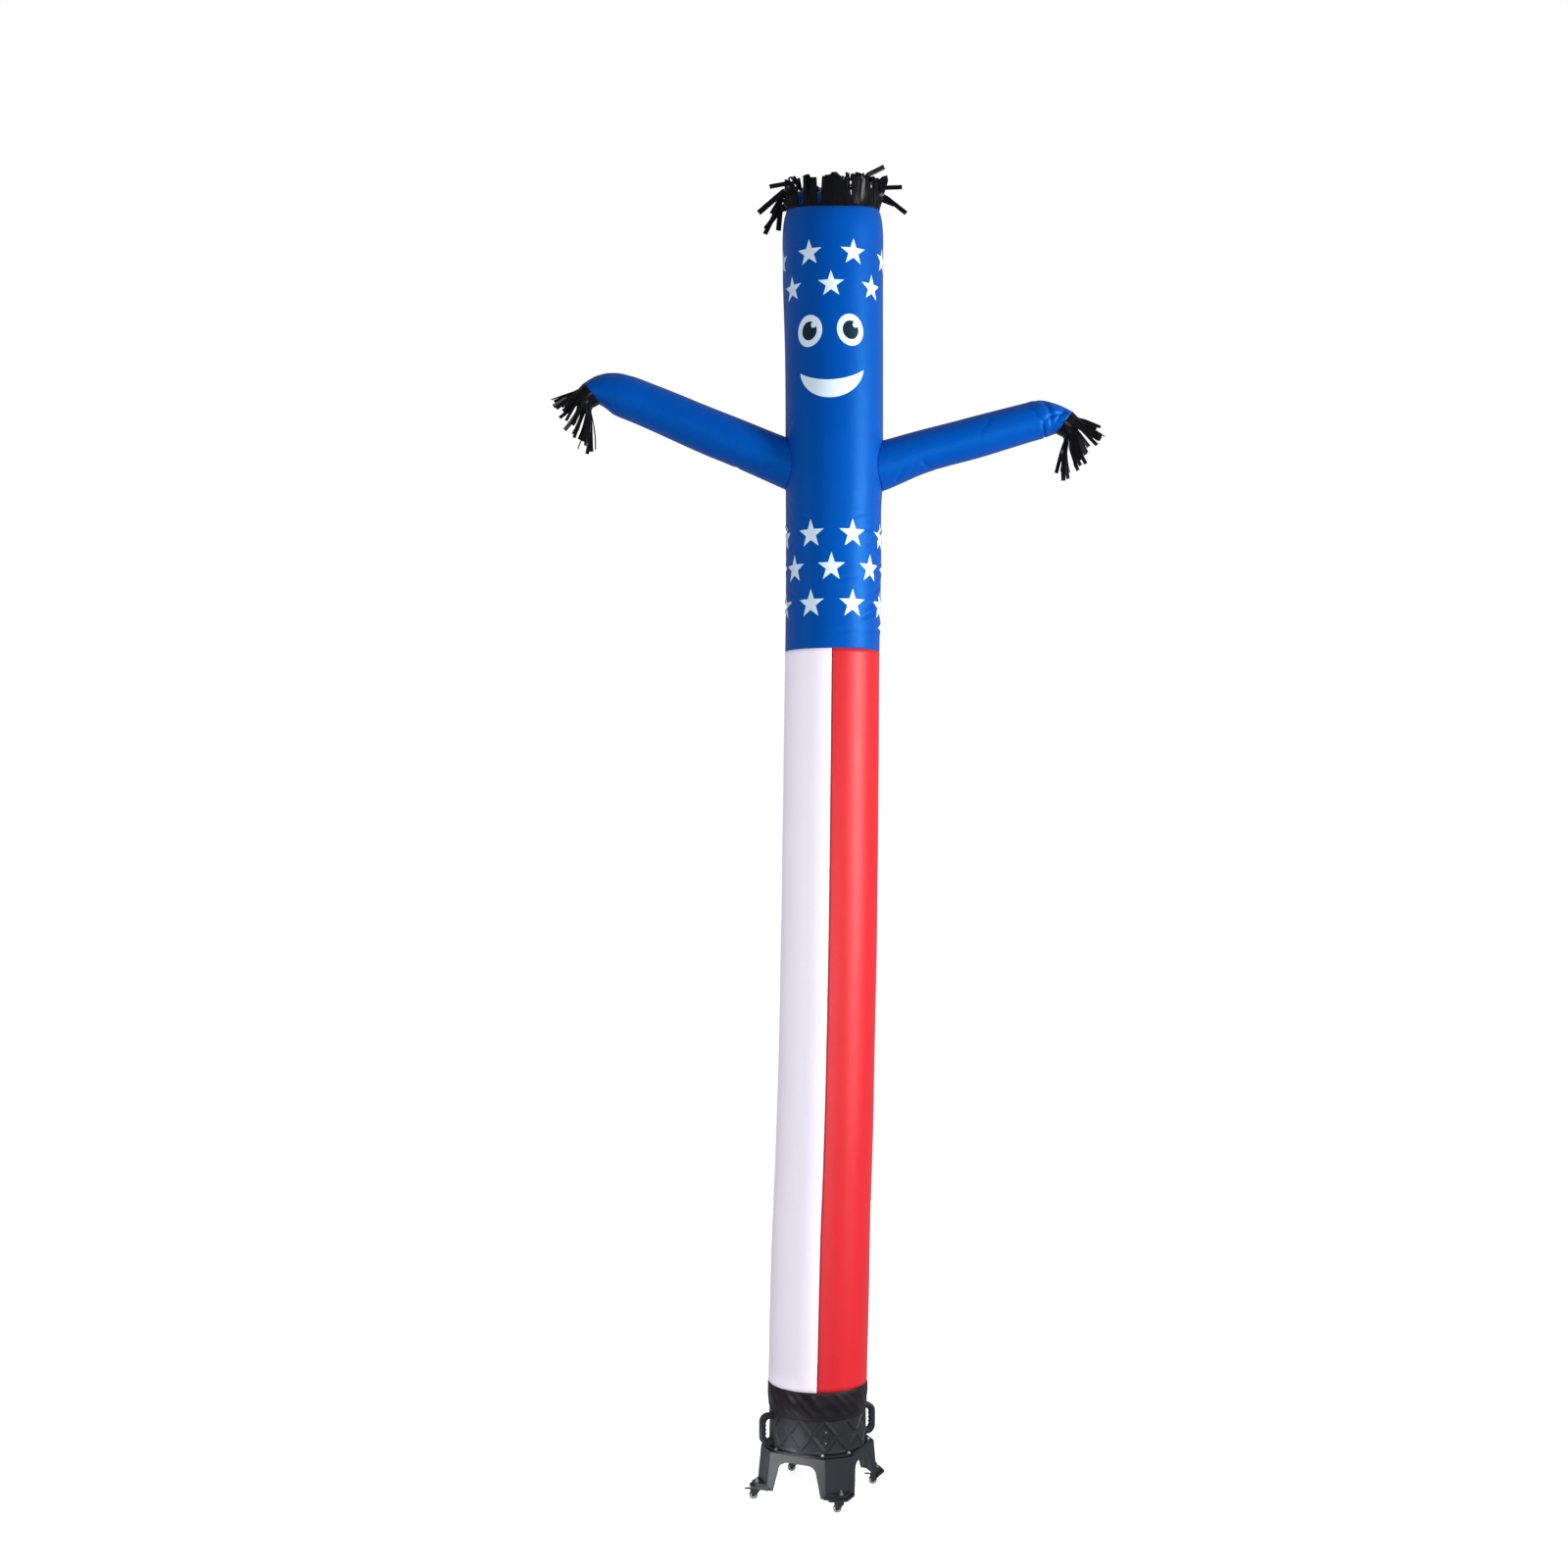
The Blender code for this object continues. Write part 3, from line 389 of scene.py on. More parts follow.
# Girth of the flat sheet that each cloth is cut from, and what is added along it
TUBE_GIRTH = 1.48
SLEEVE_GIRTH = 0.74
PANEL_GIRTH = 0.74
COLLAR_GIRTH = 1.55
CAP_GIRTH = 1.34
HEAD_FRINGE_GIRTH = 1.35
HAND_FRINGE_GIRTH = 0.44


def folds(turn, along, table, per_degree):
    """How far the folds of a table draw the cloth in at a turn and a height."""
    depth = np.zeros(np.broadcast(turn, along).shape)
    for turn_a, along_a, turn_b, along_b, deep, half in table:
        aside = apart(turn, turn_a) * per_degree
        run = np.array(((turn_b - turn_a) * per_degree, along_b - along_a))
        share = (aside * run[0] + (along - along_a) * run[1]) / (run @ run)
        held = np.clip(share, 0, 1)
        away = np.hypot(aside - held * run[0], along - along_a - held * run[1])
        depth = depth + deep * (1 - 0.8 * held**2) * bump_at(away, 0, half * MM)
    return depth * MM


def crease(turn, height):
    """How far the creases of the waist draw the cloth in, with a puff above and below each."""
    depth = np.zeros(np.broadcast(turn, height).shape)
    for level, middle, span, deep, half, slope in WAIST_CREASES:
        aside = apart(turn, middle)
        off = np.abs(height - level - slope * MM * aside) / (half * MM)
        shape = np.exp(-(off**1.4)) - 0.32 * bump_at(off, 2.1, 1.1)
        depth = depth + deep * np.exp(-2 * (aside / span) ** 2) * shape
    return depth * MM


def tube_points(turn, height):
    centre, radius = smooth(TUBE_SECTIONS, height)
    draw = crease(turn, height) + folds(turn, height, ARMPIT_FOLDS, TUBE_PER_DEGREE)
    slack = 0.0006 * ripple(np.cos(np.radians(turn)), height, 1.4, 3)
    return around(turn, radius - draw + slack, height, centre)


def rim_height(turn):
    return RIM_HEIGHT + RIM_SIDE_RISE * np.sin(np.radians(turn)) ** 2


def turns_round(count, start=SEAM_TURN):
    """A row of even turns in degrees, once round."""
    return start + 360 * np.arange(count)[None, :] / count


def column(start, end, count):
    """Even steps as a column."""
    return np.linspace(start, end, count)[:, None]


def cloth_uvs(turns, levels, closed=True):
    """Metres along the tube's cloth, one column more than the turns when they close."""
    if closed:
        turns = np.hstack((turns, turns[:, :1] + 360))
    return beside(turns * TUBE_PER_DEGREE, levels)


def upper_tube(look):
    heights = np.interp(column(0, 1, TUBE_ROWS), *np.transpose(ROW_SPREAD))
    turns = turns_round(TUBE_COLUMNS)
    bend = column(0, pi / 2, SHOULDER_ROWS + 1)[1:]
    across = RIM_RADIUS + (SHOULDER_RADIUS - RIM_RADIUS) * np.cos(bend)
    level = SHOULDER_HEIGHT + (rim_height(turns) - SHOULDER_HEIGHT) * np.sin(bend)
    top = around(turns, across, level, SHOULDER_CENTRE)
    points = np.concatenate([tube_points(turns, heights), top])
    uvs = cloth_uvs(turns, np.concatenate([heights, SHOULDER_HEIGHT + SHOULDER_CLOTH * bend]))
    place = ("tube_blue", "upper_tube", "blue_nylon")
    sew(*place, points, uvs, look, TUBE_GIRTH, "panel_white", keep=armhole_mask(points))


def armhole_mask(points):
    """False on the quads of the tube that an arm's sleeve covers."""
    middle = (points[:-1] + points[1:]) / 2
    middle = (middle + np.roll(middle, -1, axis=1)) / 2
    keep = np.ones(middle.shape[:2], bool)
    for _, side, table, _ in ARMS:
        reach, level, heading, half = np.transpose(table[:3])[1:5]
        across = side * (middle[..., 0] - BLOWER_X)
        rise = middle[..., 2] - np.interp(across, reach, level)
        off = rise * cos(radians(heading[0]))
        inside = np.hypot(off, middle[..., 1]) < np.interp(across, reach, half) - ARMHOLE_INSET
        keep &= ~(inside & (across > 0.1))
    return keep


def sleeve_points(table, side, along, angle, fold_table):
    """Points of a sleeve at ways along it and angles round it in degrees, 0 at its top."""
    reach, height, heading, half_high, half_deep = smooth(table, along)
    draw = folds(angle, along, fold_table, SLEEVE_PER_DEGREE)
    slack = 0.0007 * ripple(np.cos(np.radians(angle)), along, 3, 5 + side)
    slope, round_way = np.radians(heading), np.radians(angle)
    high = np.cos(round_way) * (half_high - draw + slack)
    deep = -side * np.sin(round_way) * (half_deep - draw + slack)
    x = BLOWER_X + side * reach - side * np.sin(slope) * high
    return beside(x, deep, height + np.cos(slope) * high)


def sleeve_root(table, side, angles, fold_table):
    """The way along at which each line of the sleeve comes out of the tube."""
    ways = np.arange(0, 0.45, 0.002)
    line = sleeve_points(table, side, ways[:, None], angles, fold_table)
    centre, radius = smooth(TUBE_SECTIONS, line[..., 2])
    out = np.hypot(line[..., 0] - BLOWER_X - centre, line[..., 1]) > radius - 0.001
    return ways[np.argmax(out, axis=0)]


def arm(name, side, table, fold_table, look):
    angles = turns_round(ARM_COLUMNS, 0)
    root = sleeve_root(table, side, angles, fold_table)
    along = root + (table[-1][0] - root) * column(0, 1, ARM_ROWS)
    points = sleeve_points(table, side, along, angles, fold_table)
    across = np.hstack((angles, [[360]])) * SLEEVE_PER_DEGREE
    uvs = beside(across, np.hstack((along, along[:, :1])))
    place = (f"sleeve_{name}", f"arm_{name}", "blue_nylon")
    sew(*place, points, uvs, look, SLEEVE_GIRTH, "tube_blue")


def panel(colour, first_turn, look):
    """Half the lower tube, its long edges a hair short of the seams."""
    gap = degrees(PANEL_GAP / TUBE_SECTIONS[0][2])
    turns = column(first_turn + gap, first_turn + 180 - gap, PANEL_COLUMNS).T
    heights = column(PANEL_BOTTOM, PANEL_TOP, PANEL_ROWS)
    uvs = cloth_uvs(turns, heights, closed=False)
    points = tube_points(turns, heights)
    place = (f"panel_cloth_{colour}", f"panel_{colour}", f"{colour}_nylon")
    sew(*place, points, uvs, look, PANEL_GIRTH, "collar_black", closed=False)


def panel_hems(first_turn):
    """Stitch rows of a panel: its top, its foot and beside both seams."""
    start = first_turn * TUBE_PER_DEGREE
    end = (first_turn + 180) * TUBE_PER_DEGREE
    return ((1, PANEL_TOP - HEM), (1, PANEL_BOTTOM + HEM), (0, start + HEM), (0, end - HEM))


def collar(look):
    """Gathered cloth with slanting drag lines, still at the band and at the panels' seam."""
    heights = column(COLLAR_SECTIONS[0][0], COLLAR_SECTIONS[-1][0], COLLAR_ROWS)
    turns = turns_round(COLLAR_COLUMNS)
    radius, swell = smooth(COLLAR_SECTIONS, heights)
    wave = 1 + np.cos(np.radians(GATHERS * turns + GATHER_SLANT * heights))
    drags = ripple(turns / 17 + heights * 12, heights * 5, 1, 11)
    creased = np.clip(drags, -0.9, 0.9) + 0.9
    loose = np.clip((heights - 0.398) / 0.02, 0, 1)
    loose = loose * np.clip((PANEL_BOTTOM - heights) / 0.012, 0, 1)
    points = around(turns, radius + swell * wave + COLLAR_CREASE * loose * creased, heights)
    place = ("collar_black", "collar", "black_nylon")
    uvs = cloth_uvs(turns, heights)
    sew(*place, points, uvs, look, COLLAR_GIRTH, "hook_band", held="gathered")


def head_cap(look):
    """Cap from inside the rim up to the open vent, lower on its right."""
    turns = turns_round(CAP_COLUMNS)
    base = RIM_RADIUS - CLOTH - 0.0004
    steps = column(0, 1, CAP_ROWS)
    keyed = [(k / (len(CAP_SECTIONS) - 1), *row) for k, row in enumerate(CAP_SECTIONS)]
    share, shift, rise = smooth(keyed, steps)
    sag = np.where(rise > 0.004, CAP_SAG * np.sin(np.radians(turns)), 0)
    pucker = CAP_PUCKER * ripple(turns / 40, steps * 2, 1.2, 17) * steps
    level = rim_height(turns) + rise * (1 - sag) + pucker
    points = around(turns, base * share, level, SHOULDER_CENTRE + shift)
    uvs = cloth_uvs(turns, steps * CAP_CLOTH)
    sew("cap_blue", "head_cap", "blue_nylon", points, uvs, look, CAP_GIRTH, "tube_blue")


# Fringes: strips cut from one width of cloth, their roots in a narrow band
STRIP_WIDE = 0.021
STRIP_THICK = 0.0009
STRIP_CROWN = 0.0009
STRIP_POINTS = 16
HEAD_STRIPS = 76
HEAD_STRIP_RISE = (0.116, 0.142)
HEAD_STRIP_HANG = (0.045, 0.08)
HEAD_GAPS = (-46, -19)  # turns at which the cap shows between the strips
GAP_HALF = 4.3
FOLD_LENGTH = 0.026
HEAD_LEAN = (0, 0.16)
HEAD_SWAY = (-0.1, 0.1)
HEAD_FALL = (100, 160)  # degrees from upright at which a folded tip points
TIP_SWAY = (-0.9, 0.9)
HAND_STRIPS = 26
HAND_STRIP_FALL = (25, 97)  # degrees below level of the topmost and the lowest strip
HAND_HANG = (0.104, 0.088)  # length of the topmost strips, and how much longer the lowest are
HEAD_BAND = 0.012
HEAD_BAND_COLUMNS = 168
CUFF_COLUMNS = 64
HAND_BAND = 0.035
BAND_OUT = 0.0022  # from the tube to the head's band
CUFF_IN = -0.006  # how far the cuff narrows to the roots of its strips
UV_STEP = (0.006, 0.02)  # cloth across and along one face of a strip

# Strips that reach out of the head's fringe: turn of the root, then in millimetres the lean to the
# right and rise of the standing part, and how far the tip runs to the right and up
LOOSE_STRIPS = (
    (-52, -20, 95, -100, -22),
    (-72, -6, 78, -128, -112),
    (-88, -10, 50, -80, -165),
    (-80, -6, 70, -60, -100),
    (-98, -22, 28, -10, -110),
    (40, 8, 124, 82, 36),
    (72, 40, 135, -45, -45),
    (80, 12, 92, 92, 2),
    (92, 12, 72, 108, -85),
    (118, 12, 100, 85, -30),
    (140, 6, 120, 60, 20),
    (196, -4, 115, -55, -50),
    (228, -12, 90, -100, -40),
    (250, -10, 60, -95, -120),
)


def sew_strips(name, node, band, ribbons, look, girth, rests_on):
    """The band and its strips as one piece of cloth."""
    points, faces, uvs = [], [], []
    for n, rows in enumerate([band, *ribbons]):
        part = np.array(rows)
        at, numbers = quads(*part.shape[:2], n == 0)
        faces += (numbers + len(points)).tolist()
        points += part.reshape(-1, 3).tolist()
        uvs.append(at[..., ::-1] * UV_STEP + (n * 0.05, 0))
    made = piece(name, points, faces, look, np.concatenate(uvs))
    wall(made, STRIP_THICK, 0)
    shaped = made.evaluated_get(bpy.context.evaluated_depsgraph_get())
    made.data = bpy.data.meshes.new_from_object(shaped)
    made.modifiers.clear()
    made.data.set_sharp_from_angle(angle=radians(55))
    belong(made, node)


def folded_path(root, start, rise, tip, hang, bend=Vector()):
    """Points along a straight run, a tight fold and a tip that bends a little, in even steps."""
    length = rise + hang
    points = [root]
    for k in range(STRIP_POINTS):
        middle = (k + 0.5) / STRIP_POINTS * length
        over = min(max((middle - rise + FOLD_LENGTH / 2) / FOLD_LENGTH, 0), 1)
        heading = start * (1 - over) + tip * over + bend * (middle / length) ** 2
        points.append(points[-1] + heading.normalized() * length / STRIP_POINTS)
    return points


def strip_rows(points, across, wide, twist, faced=False):
    """Rows of three points across a strip that turns by a twist over the first half of its way.
    A faced strip turns until its broad side shows from the front and the back."""
    rows = []
    last = across
    for k, place in enumerate(points):
        share = min(2 * k / (len(points) - 1), 1)
        heading = (points[min(k + 1, len(points) - 1)] - points[max(k - 1, 0)]).normalized()
        side = (across - heading * across.dot(heading)).normalized()
        if faced:
            flat = Vector((-heading.z, 0, heading.x)).normalized()
            flat = flat if flat.dot(last) > 0 else -flat
            side = (side * (1 - share) + flat * share).normalized()
        last = side
        angle = radians(twist) * share
        turned = side * cos(angle) + side.cross(heading) * sin(angle)
        half = turned * wide / 2
        rows.append([place - half, place + turned.cross(heading) * STRIP_CROWN, place + half])
    return rows


def directions(turn):
    """Out from the blower's axis and along the wall at a turn."""
    angle = radians(turn)
    out = Vector((sin(angle), -cos(angle), 0))
    return out, Vector((cos(angle), sin(angle), 0))


def head_root(turn, layer):
    """A strip's root on the band, and the directions out and along the band there."""
    level = rim_height(turn) + HEAD_BAND
    root = around(turn, RIM_RADIUS + BAND_OUT + layer, level, SHOULDER_CENTRE)
    return Vector(root), *directions(turn)


def head_strip(turn, layer, draw):
    """A strip that rises from the band and folds over inwards."""
    root, out, aside = head_root(turn, layer)
    up = Vector((0, 0, 1))
    start = up + out * draw(*HEAD_LEAN) + aside * draw(*HEAD_SWAY)
    fall = radians(draw(*HEAD_FALL))
    tip = up * cos(fall) - out * sin(fall) + aside * draw(*TIP_SWAY)
    rise, hang = draw(*HEAD_STRIP_RISE), draw(*HEAD_STRIP_HANG)
    path = folded_path(root, start.normalized(), rise, tip.normalized(), hang)
    wide = STRIP_WIDE * draw(0.9, 1.15)
    return strip_rows(path, aside, wide, draw(-18, 18))


def loose_strip(row, draw):
    """A strip of the table, turned to show its face to the front or the back."""
    turn, lean, rise, right, up = row
    root, out, aside = head_root(turn, 0.003)
    start = Vector((lean, 0, rise)) * MM
    tip = Vector((right, out.y * 20, up)) * MM
    path = folded_path(root, start.normalized(), start.length, tip.normalized(), tip.length)
    wide = STRIP_WIDE * draw(1.05, 1.25)
    return strip_rows(path, aside, wide, draw(-20, 20), faced=True)


def head_fringe(look):
    turns = turns_round(HEAD_BAND_COLUMNS)
    levels = rim_height(turns) + np.array((0.0004, HEAD_BAND / 2, HEAD_BAND))[:, None]
    band = around(turns, RIM_RADIUS + BAND_OUT, levels, SHOULDER_CENTRE)
    draw = random.Random(20).uniform
    ribbons = []
    for k in range(HEAD_STRIPS):
        turn = SEAM_TURN + 360 * (k + 0.5) / HEAD_STRIPS
        if min(abs(apart(turn, gap)) for gap in HEAD_GAPS) > GAP_HALF:
            ribbons.append(head_strip(turn, 0.0016 * (k % 2), draw))
    ribbons += [loose_strip(row, draw) for row in LOOSE_STRIPS]
    place = ("fringe_head", "head_fringe")
    sew_strips(*place, band, ribbons, look, HEAD_FRINGE_GIRTH, "tube_blue")


def hand_fringe(name, side, table, look):
    """A cuff on the end of a sleeve, and strips that droop more the lower their roots are."""
    reach, height, heading, half_high, half_deep = table[-1][1:]
    slope = radians(heading)
    along = Vector((side * cos(slope), 0, sin(slope)))
    up = Vector((-side * sin(slope), 0, cos(slope)))
    centre = Vector((BLOWER_X + side * reach, 0, height))

    def rim(angle, way=HAND_BAND, grow=CUFF_IN):
        deep = Vector((0, -side * sin(angle) * (half_deep + grow), 0))
        return centre + along * way + up * cos(angle) * (half_high + grow) + deep

    levels = ((0.0006, 0), (HAND_BAND * 0.5, CUFF_IN / 3), (HAND_BAND, CUFF_IN))
    band = [[rim(tau * k / CUFF_COLUMNS, *level) for k in range(CUFF_COLUMNS)] for level in levels]
    draw = random.Random(7 + side).uniform
    highest, lowest = HAND_STRIP_FALL
    ribbons = []
    for k in range(HAND_STRIPS):
        angle = tau * (k + 0.5) / HAND_STRIPS
        low = ((1 - cos(angle)) / 2) ** 0.8
        fall = radians(highest + (lowest - highest) * low + draw(-11, 9))
        aside = -side * sin(angle) * 0.16 + draw(-0.08, 0.08)
        tip = Vector((side * cos(fall), aside, -sin(fall)))
        hang = HAND_HANG[0] + HAND_HANG[1] * low + draw(-0.024, 0.022)
        across = (rim(angle + 0.05) - rim(angle - 0.05)).normalized()
        bend = Vector((side * draw(-0.12, 0.4), 0, draw(-0.2, 0.1)))
        path = folded_path(rim(angle), along, 0.01, tip.normalized(), hang, bend)
        wide = STRIP_WIDE * draw(0.8, 1)
        ribbons.append(strip_rows(path, across, wide, draw(-40, 40), faced=k % 3 > 0))
    place = (f"fringe_hand_{name}", f"hand_fringe_{name}")
    sew_strips(*place, band, ribbons, look, HAND_FRINGE_GIRTH, f"sleeve_{name}")


# Materials

PRINTED = "Printed blue nylon"
BLUES = ((0, 0.078, 0.42), (0, 0.056, 0.33))
BLUE_LOOK = {"tint": (0.05, 0.5, 1), "gloss": 0.45}
WHITES = ((0.82, 0.77, 0.86), (0.77, 0.72, 0.82))
# The white and red panels' glow is painted light: emission in their own colour that brightens them
# as if lit
WHITE_LOOK = {"painted_glow": 0.25, "crumple": 0.0012}
REDS = ((0.56, 0.012, 0.02), (0.5, 0.008, 0.016))
RED_LOOK = {"tint": (1, 0.5, 0.5), "gloss": 0.6, "painted_glow": 0.1, "crumple": 0.0012}
PANELS = (("red", SEAM_TURN, REDS, RED_LOOK), ("white", SEAM_TURN + 180, WHITES, WHITE_LOOK))
BLACKS = ((0.004, 0.003, 0.005), (0.01, 0.007, 0.011))
BLACK_LOOK = {"rough": 0.42, "gloss": 0.22, "crumple": 0.003}
CHARCOAL = (0.015, 0.016, 0.0195)
WIRE_BLACK = (0.012, 0.012, 0.013)
ZINC = (0.62, 0.62, 0.6)
BLACK_STEEL = (0.05, 0.05, 0.055)
PRINT_WHITE = (0.73, 0.86, 0.98)
PRINT_BLACK = (0.01, 0.012, 0.02)
# Painted shade: the near black that the plastic is darkened to in its corners and crevices, and how
# far that darkening reaches
PAINTED_SHADE = (0.0008, 0.0008, 0.001)
PAINTED_SHADE_REACH = 0.01
THREAD = (0.05, 0.05, 0.06)
STITCH_PITCH = 0.0042
YARN_EACH = 5  # weave pitches from one heavy yarn to the next
HEM = 0.008  # from a cut edge to its stitches
TOP_HEM = 0.15  # cloth from the shoulder's foot to the stitches at the rim


def sign(operation):
    """A method of Value that makes a Math node."""
    return lambda value, *others: value.look.math(operation, value, *others)


class Value:
    """A node's output; each of Python's signs on it makes a Math node."""

    def __init__(self, look, socket):
        self.look = look
        self.socket = socket

    __add__ = sign("ADD")
    __sub__ = sign("SUBTRACT")
    __mul__ = sign("MULTIPLY")
    __truediv__ = sign("DIVIDE")
    __mod__ = sign("FLOORED_MODULO")
    __pow__ = sign("POWER")
    __abs__ = sign("ABSOLUTE")
    sine = sign("SINE")
    cosine = sign("COSINE")
    root = sign("SQRT")
    arctan2 = sign("ARCTAN2")
    larger = sign("MAXIMUM")
    above = sign("GREATER_THAN")
    below = sign("LESS_THAN")


class Nodes:
    """Nodes of a material or a world, made by short calls."""

    def __init__(self, holder):
        holder.use_nodes = True
        self.tree = holder.node_tree

    def put(self, socket, value):
        if isinstance(value, Value):
            self.tree.links.new(value.socket, socket)
        else:
            socket.default_value = (*value, 1) if socket.type == "RGBA" else value

    def node(self, kind, inputs, output=0, **settings):
        """One output of a new node."""
        made = self.tree.nodes.new("ShaderNode" + kind)
        for key, value in settings.items():
            setattr(made, key, value)
        for key, value in inputs.items():
            self.put(made.inputs[key], value)
        return Value(self, made.outputs[output])


class Look(Nodes):
    """A material; every input may be a number or a Value."""

    def __init__(self, name):
        self.material = bpy.data.materials.new(name)
        super().__init__(self.material)
        self.shader = self.tree.nodes["Principled BSDF"]

    def set(self, **values):
        for key, value in values.items():
            self.put(self.shader.inputs[key.replace("_", " ")], value)

    def math(self, operation, *values, clamp=False):
        return self.node("Math", dict(enumerate(values)), operation=operation, use_clamp=clamp)

    def mix(self, share, first, second):
        return self.node("Mix", {0: share, 6: first, 7: second}, 2, data_type="RGBA")

    def cloth(self):
        """Metres across and along the cloth."""
        return self.node("UVMap", {}, uv_map="Cloth")

    def object(self):
        """Metres in the frame's axes."""
        return self.node("TexCoord", {}, "Object")

    def split(self, place):
        """The three parts of a place."""
        first = self.node("SeparateXYZ", {0: place})
        return [Value(self, socket) for socket in first.socket.node.outputs]

    def noise(self, scale, detail=3, rough=0.5, stretch=(1, 1, 1), on_cloth=False):
        place = self.cloth() if on_cloth else self.object()
        place = self.node("Mapping", {"Vector": place, "Scale": stretch})
        inputs = {"Vector": place, "Scale": scale, "Detail": detail, "Roughness": rough}
        return self.node("TexNoise", inputs)

    def bumps(self, *layers, rounding=0):
        """Layers of height and its depth in metres, one on the other, over rounded edges."""
        under = {}
        if rounding:
            under = {"Normal": self.node("Bevel", {"Radius": rounding}, samples=6)}
        for height, depth in layers:
            under = {"Normal": self.node("Bump", {"Height": height, "Distance": depth, **under})}
        self.set(**under)


def edge(distance, soft=0.0012):
    """1 where a distance in metres is below 0, over a soft edge."""
    return distance.look.math("SUBTRACT", 0.5, distance / soft, clamp=True)


def most(values):
    """The largest of a list of values."""
    total = values[0]
    for value in values[1:]:
        total = total.larger(value)
    return total


def ellipse(x, y, middle, half, tilt=0):
    """Mask of an ellipse leaning by a tilt in degrees."""
    dx = x - middle[0]
    dy = y - middle[1]
    cosine = cos(radians(tilt))
    sine = sin(radians(tilt))
    a = abs(dx * cosine + dy * sine) / half[0]
    b = abs(dy * cosine - dx * sine) / half[1]
    return edge(((a**2 + b**2).root() - 1) * min(half))


def star_row(x, y, height, turn, count, reach):
    """Mask of a row of upright five-pointed stars at even turns round the tube."""
    pitch = 360 / count * TUBE_PER_DEGREE
    dx = (x - turn * TUBE_PER_DEGREE + 10.5 * pitch) % pitch - pitch / 2
    dy = y - height
    length = (dx * dx + dy * dy).root()
    step = tau / 5
    folded = abs((dx.arctan2(dy) + 5.5 * step) % step - step / 2)
    waist = STAR_WAIST * reach
    side = Vector((reach - waist * cos(step / 2), waist * sin(step / 2))).normalized()
    off = length * folded.sine() * side.x + (length * folded.cosine() - reach) * side.y
    return edge(off)


def smile(x, y):
    """Mask of a crescent between two arcs that meet at the corners of the mouth."""
    aside = x - MOUTH_TURN * TUBE_PER_DEGREE
    dx = abs(aside / MOUTH_HALF)
    drop = aside * MOUTH_RISE + MOUTH_HEIGHT - y
    bow = x.look.math("SUBTRACT", 1, dx**2)
    upper = edge(bow * MOUTH_DIPS[0] - drop)
    lower = edge(drop - bow.larger(0) ** MOUTH_ROUND * MOUTH_DIPS[1])
    return upper * lower * dx.below(1)


def weave(x, y, pitch=0.0016):
    """Height of a plain weave, from 0 to 1, with a heavier yarn each few millimetres."""
    waves = [(along * (tau / pitch)).sine() for along in (x, y)]
    slow = [(along * (tau / (pitch * YARN_EACH))).cosine() for along in (x, y)]
    yarns = [wave.larger(0) ** 12 for wave in slow]
    return waves[0] * waves[1] * 0.3 + most(yarns)


def stitches(x, y, hems):
    """Mask of rows of stitches: a hem is 0 for one up the cloth or 1 across it, and its place."""
    rows = []
    for way, place in hems:
        off, run = (x, y) if way == 0 else (y, x)
        wave = (run * (tau / STITCH_PITCH)).sine()
        rows.append(edge(abs(off - place) - 0.0006, 0.0005) * wave.above(-0.35))
    return most(rows)


def prints(x, y, base):
    """The stars and the face, printed over a base colour."""
    mix = x.look.mix
    lap = 360 * TUBE_PER_DEGREE
    x = (x + lap / 2) % lap - lap / 2
    whites = [star_row(x, y, *row) for row in STAR_ROWS]
    pupils = []
    glints = []
    for side in (-1, 1):
        middle = (FACE_TURN * TUBE_PER_DEGREE + side * EYE_ASIDE, EYE_HEIGHT)
        spot = (middle[0] + GLINT_PLACE[0], middle[1] + GLINT_PLACE[1])
        whites.append(ellipse(x, y, middle, EYE_HALF, side * EYE_TILT))
        pupils.append(ellipse(x, y, middle, PUPIL_HALF, side * EYE_TILT))
        glints.append(ellipse(x, y, spot, (GLINT_RADIUS, GLINT_RADIUS)))
    whites.append(smile(x, y))
    base = mix(most(whites), base, PRINT_WHITE)
    base = mix(most(pupils), base, PRINT_BLACK)
    return mix(most(glints), base, PRINT_WHITE)


def nylon(name, colours, hems=(), tint=(1, 1, 1), rough=0.4, gloss=0.3, painted_glow=0, crumple=0.0025):
    """Satin nylon: dyed unevenly between two colours, woven and softly crumpled, with painted light
    where a glow is given: emission that brightens it as if lit.
    """
    look = Look(name)
    x, y = look.split(look.cloth())[:2]
    base = look.mix(look.noise(3, 4, 0.55), *colours)
    if name == PRINTED:
        base = prints(x, y, base)
    look.set(Base_Color=base, Specular_IOR_Level=gloss, Specular_Tint=tint)
    # Painted light: emission in the cloth's own colour, brightening it as if lit
    if painted_glow:
        look.set(Emission_Color=base, Emission_Strength=painted_glow)
    look.set(Roughness=look.noise(14, 3, 0.6) * 0.1 + (rough - 0.05))
    soft = look.noise(5.5, 4, 0.55, (1, 1, 0.55))
    small = look.noise(26, 3, 0.6, (1, 1, 0.7))
    layers = [(weave(x, y), 0.0001), (small, crumple * 0.25), (soft, crumple)]
    if hems:
        thread = stitches(x, y, hems)
        look.set(Base_Color=look.mix(thread * 0.45, base, THREAD))
        layers.append((thread, 0.0006))
    look.bumps(*layers)
    return look


def shiny_strip(name):
    look = Look(name)
    base = look.mix(look.noise(60), (0.001, 0.001, 0.002), (0.006, 0.006, 0.008))
    look.set(Base_Color=base, Roughness=0.26, Specular_IOR_Level=0.14)
    x, y = look.split(look.cloth())[:2]
    ridges = look.noise(90, 1, 0.4, (1, 0.12, 1), on_cloth=True)
    look.bumps((weave(x, y, 0.0012), 0.000003), (ridges, 0.0007))
    return look


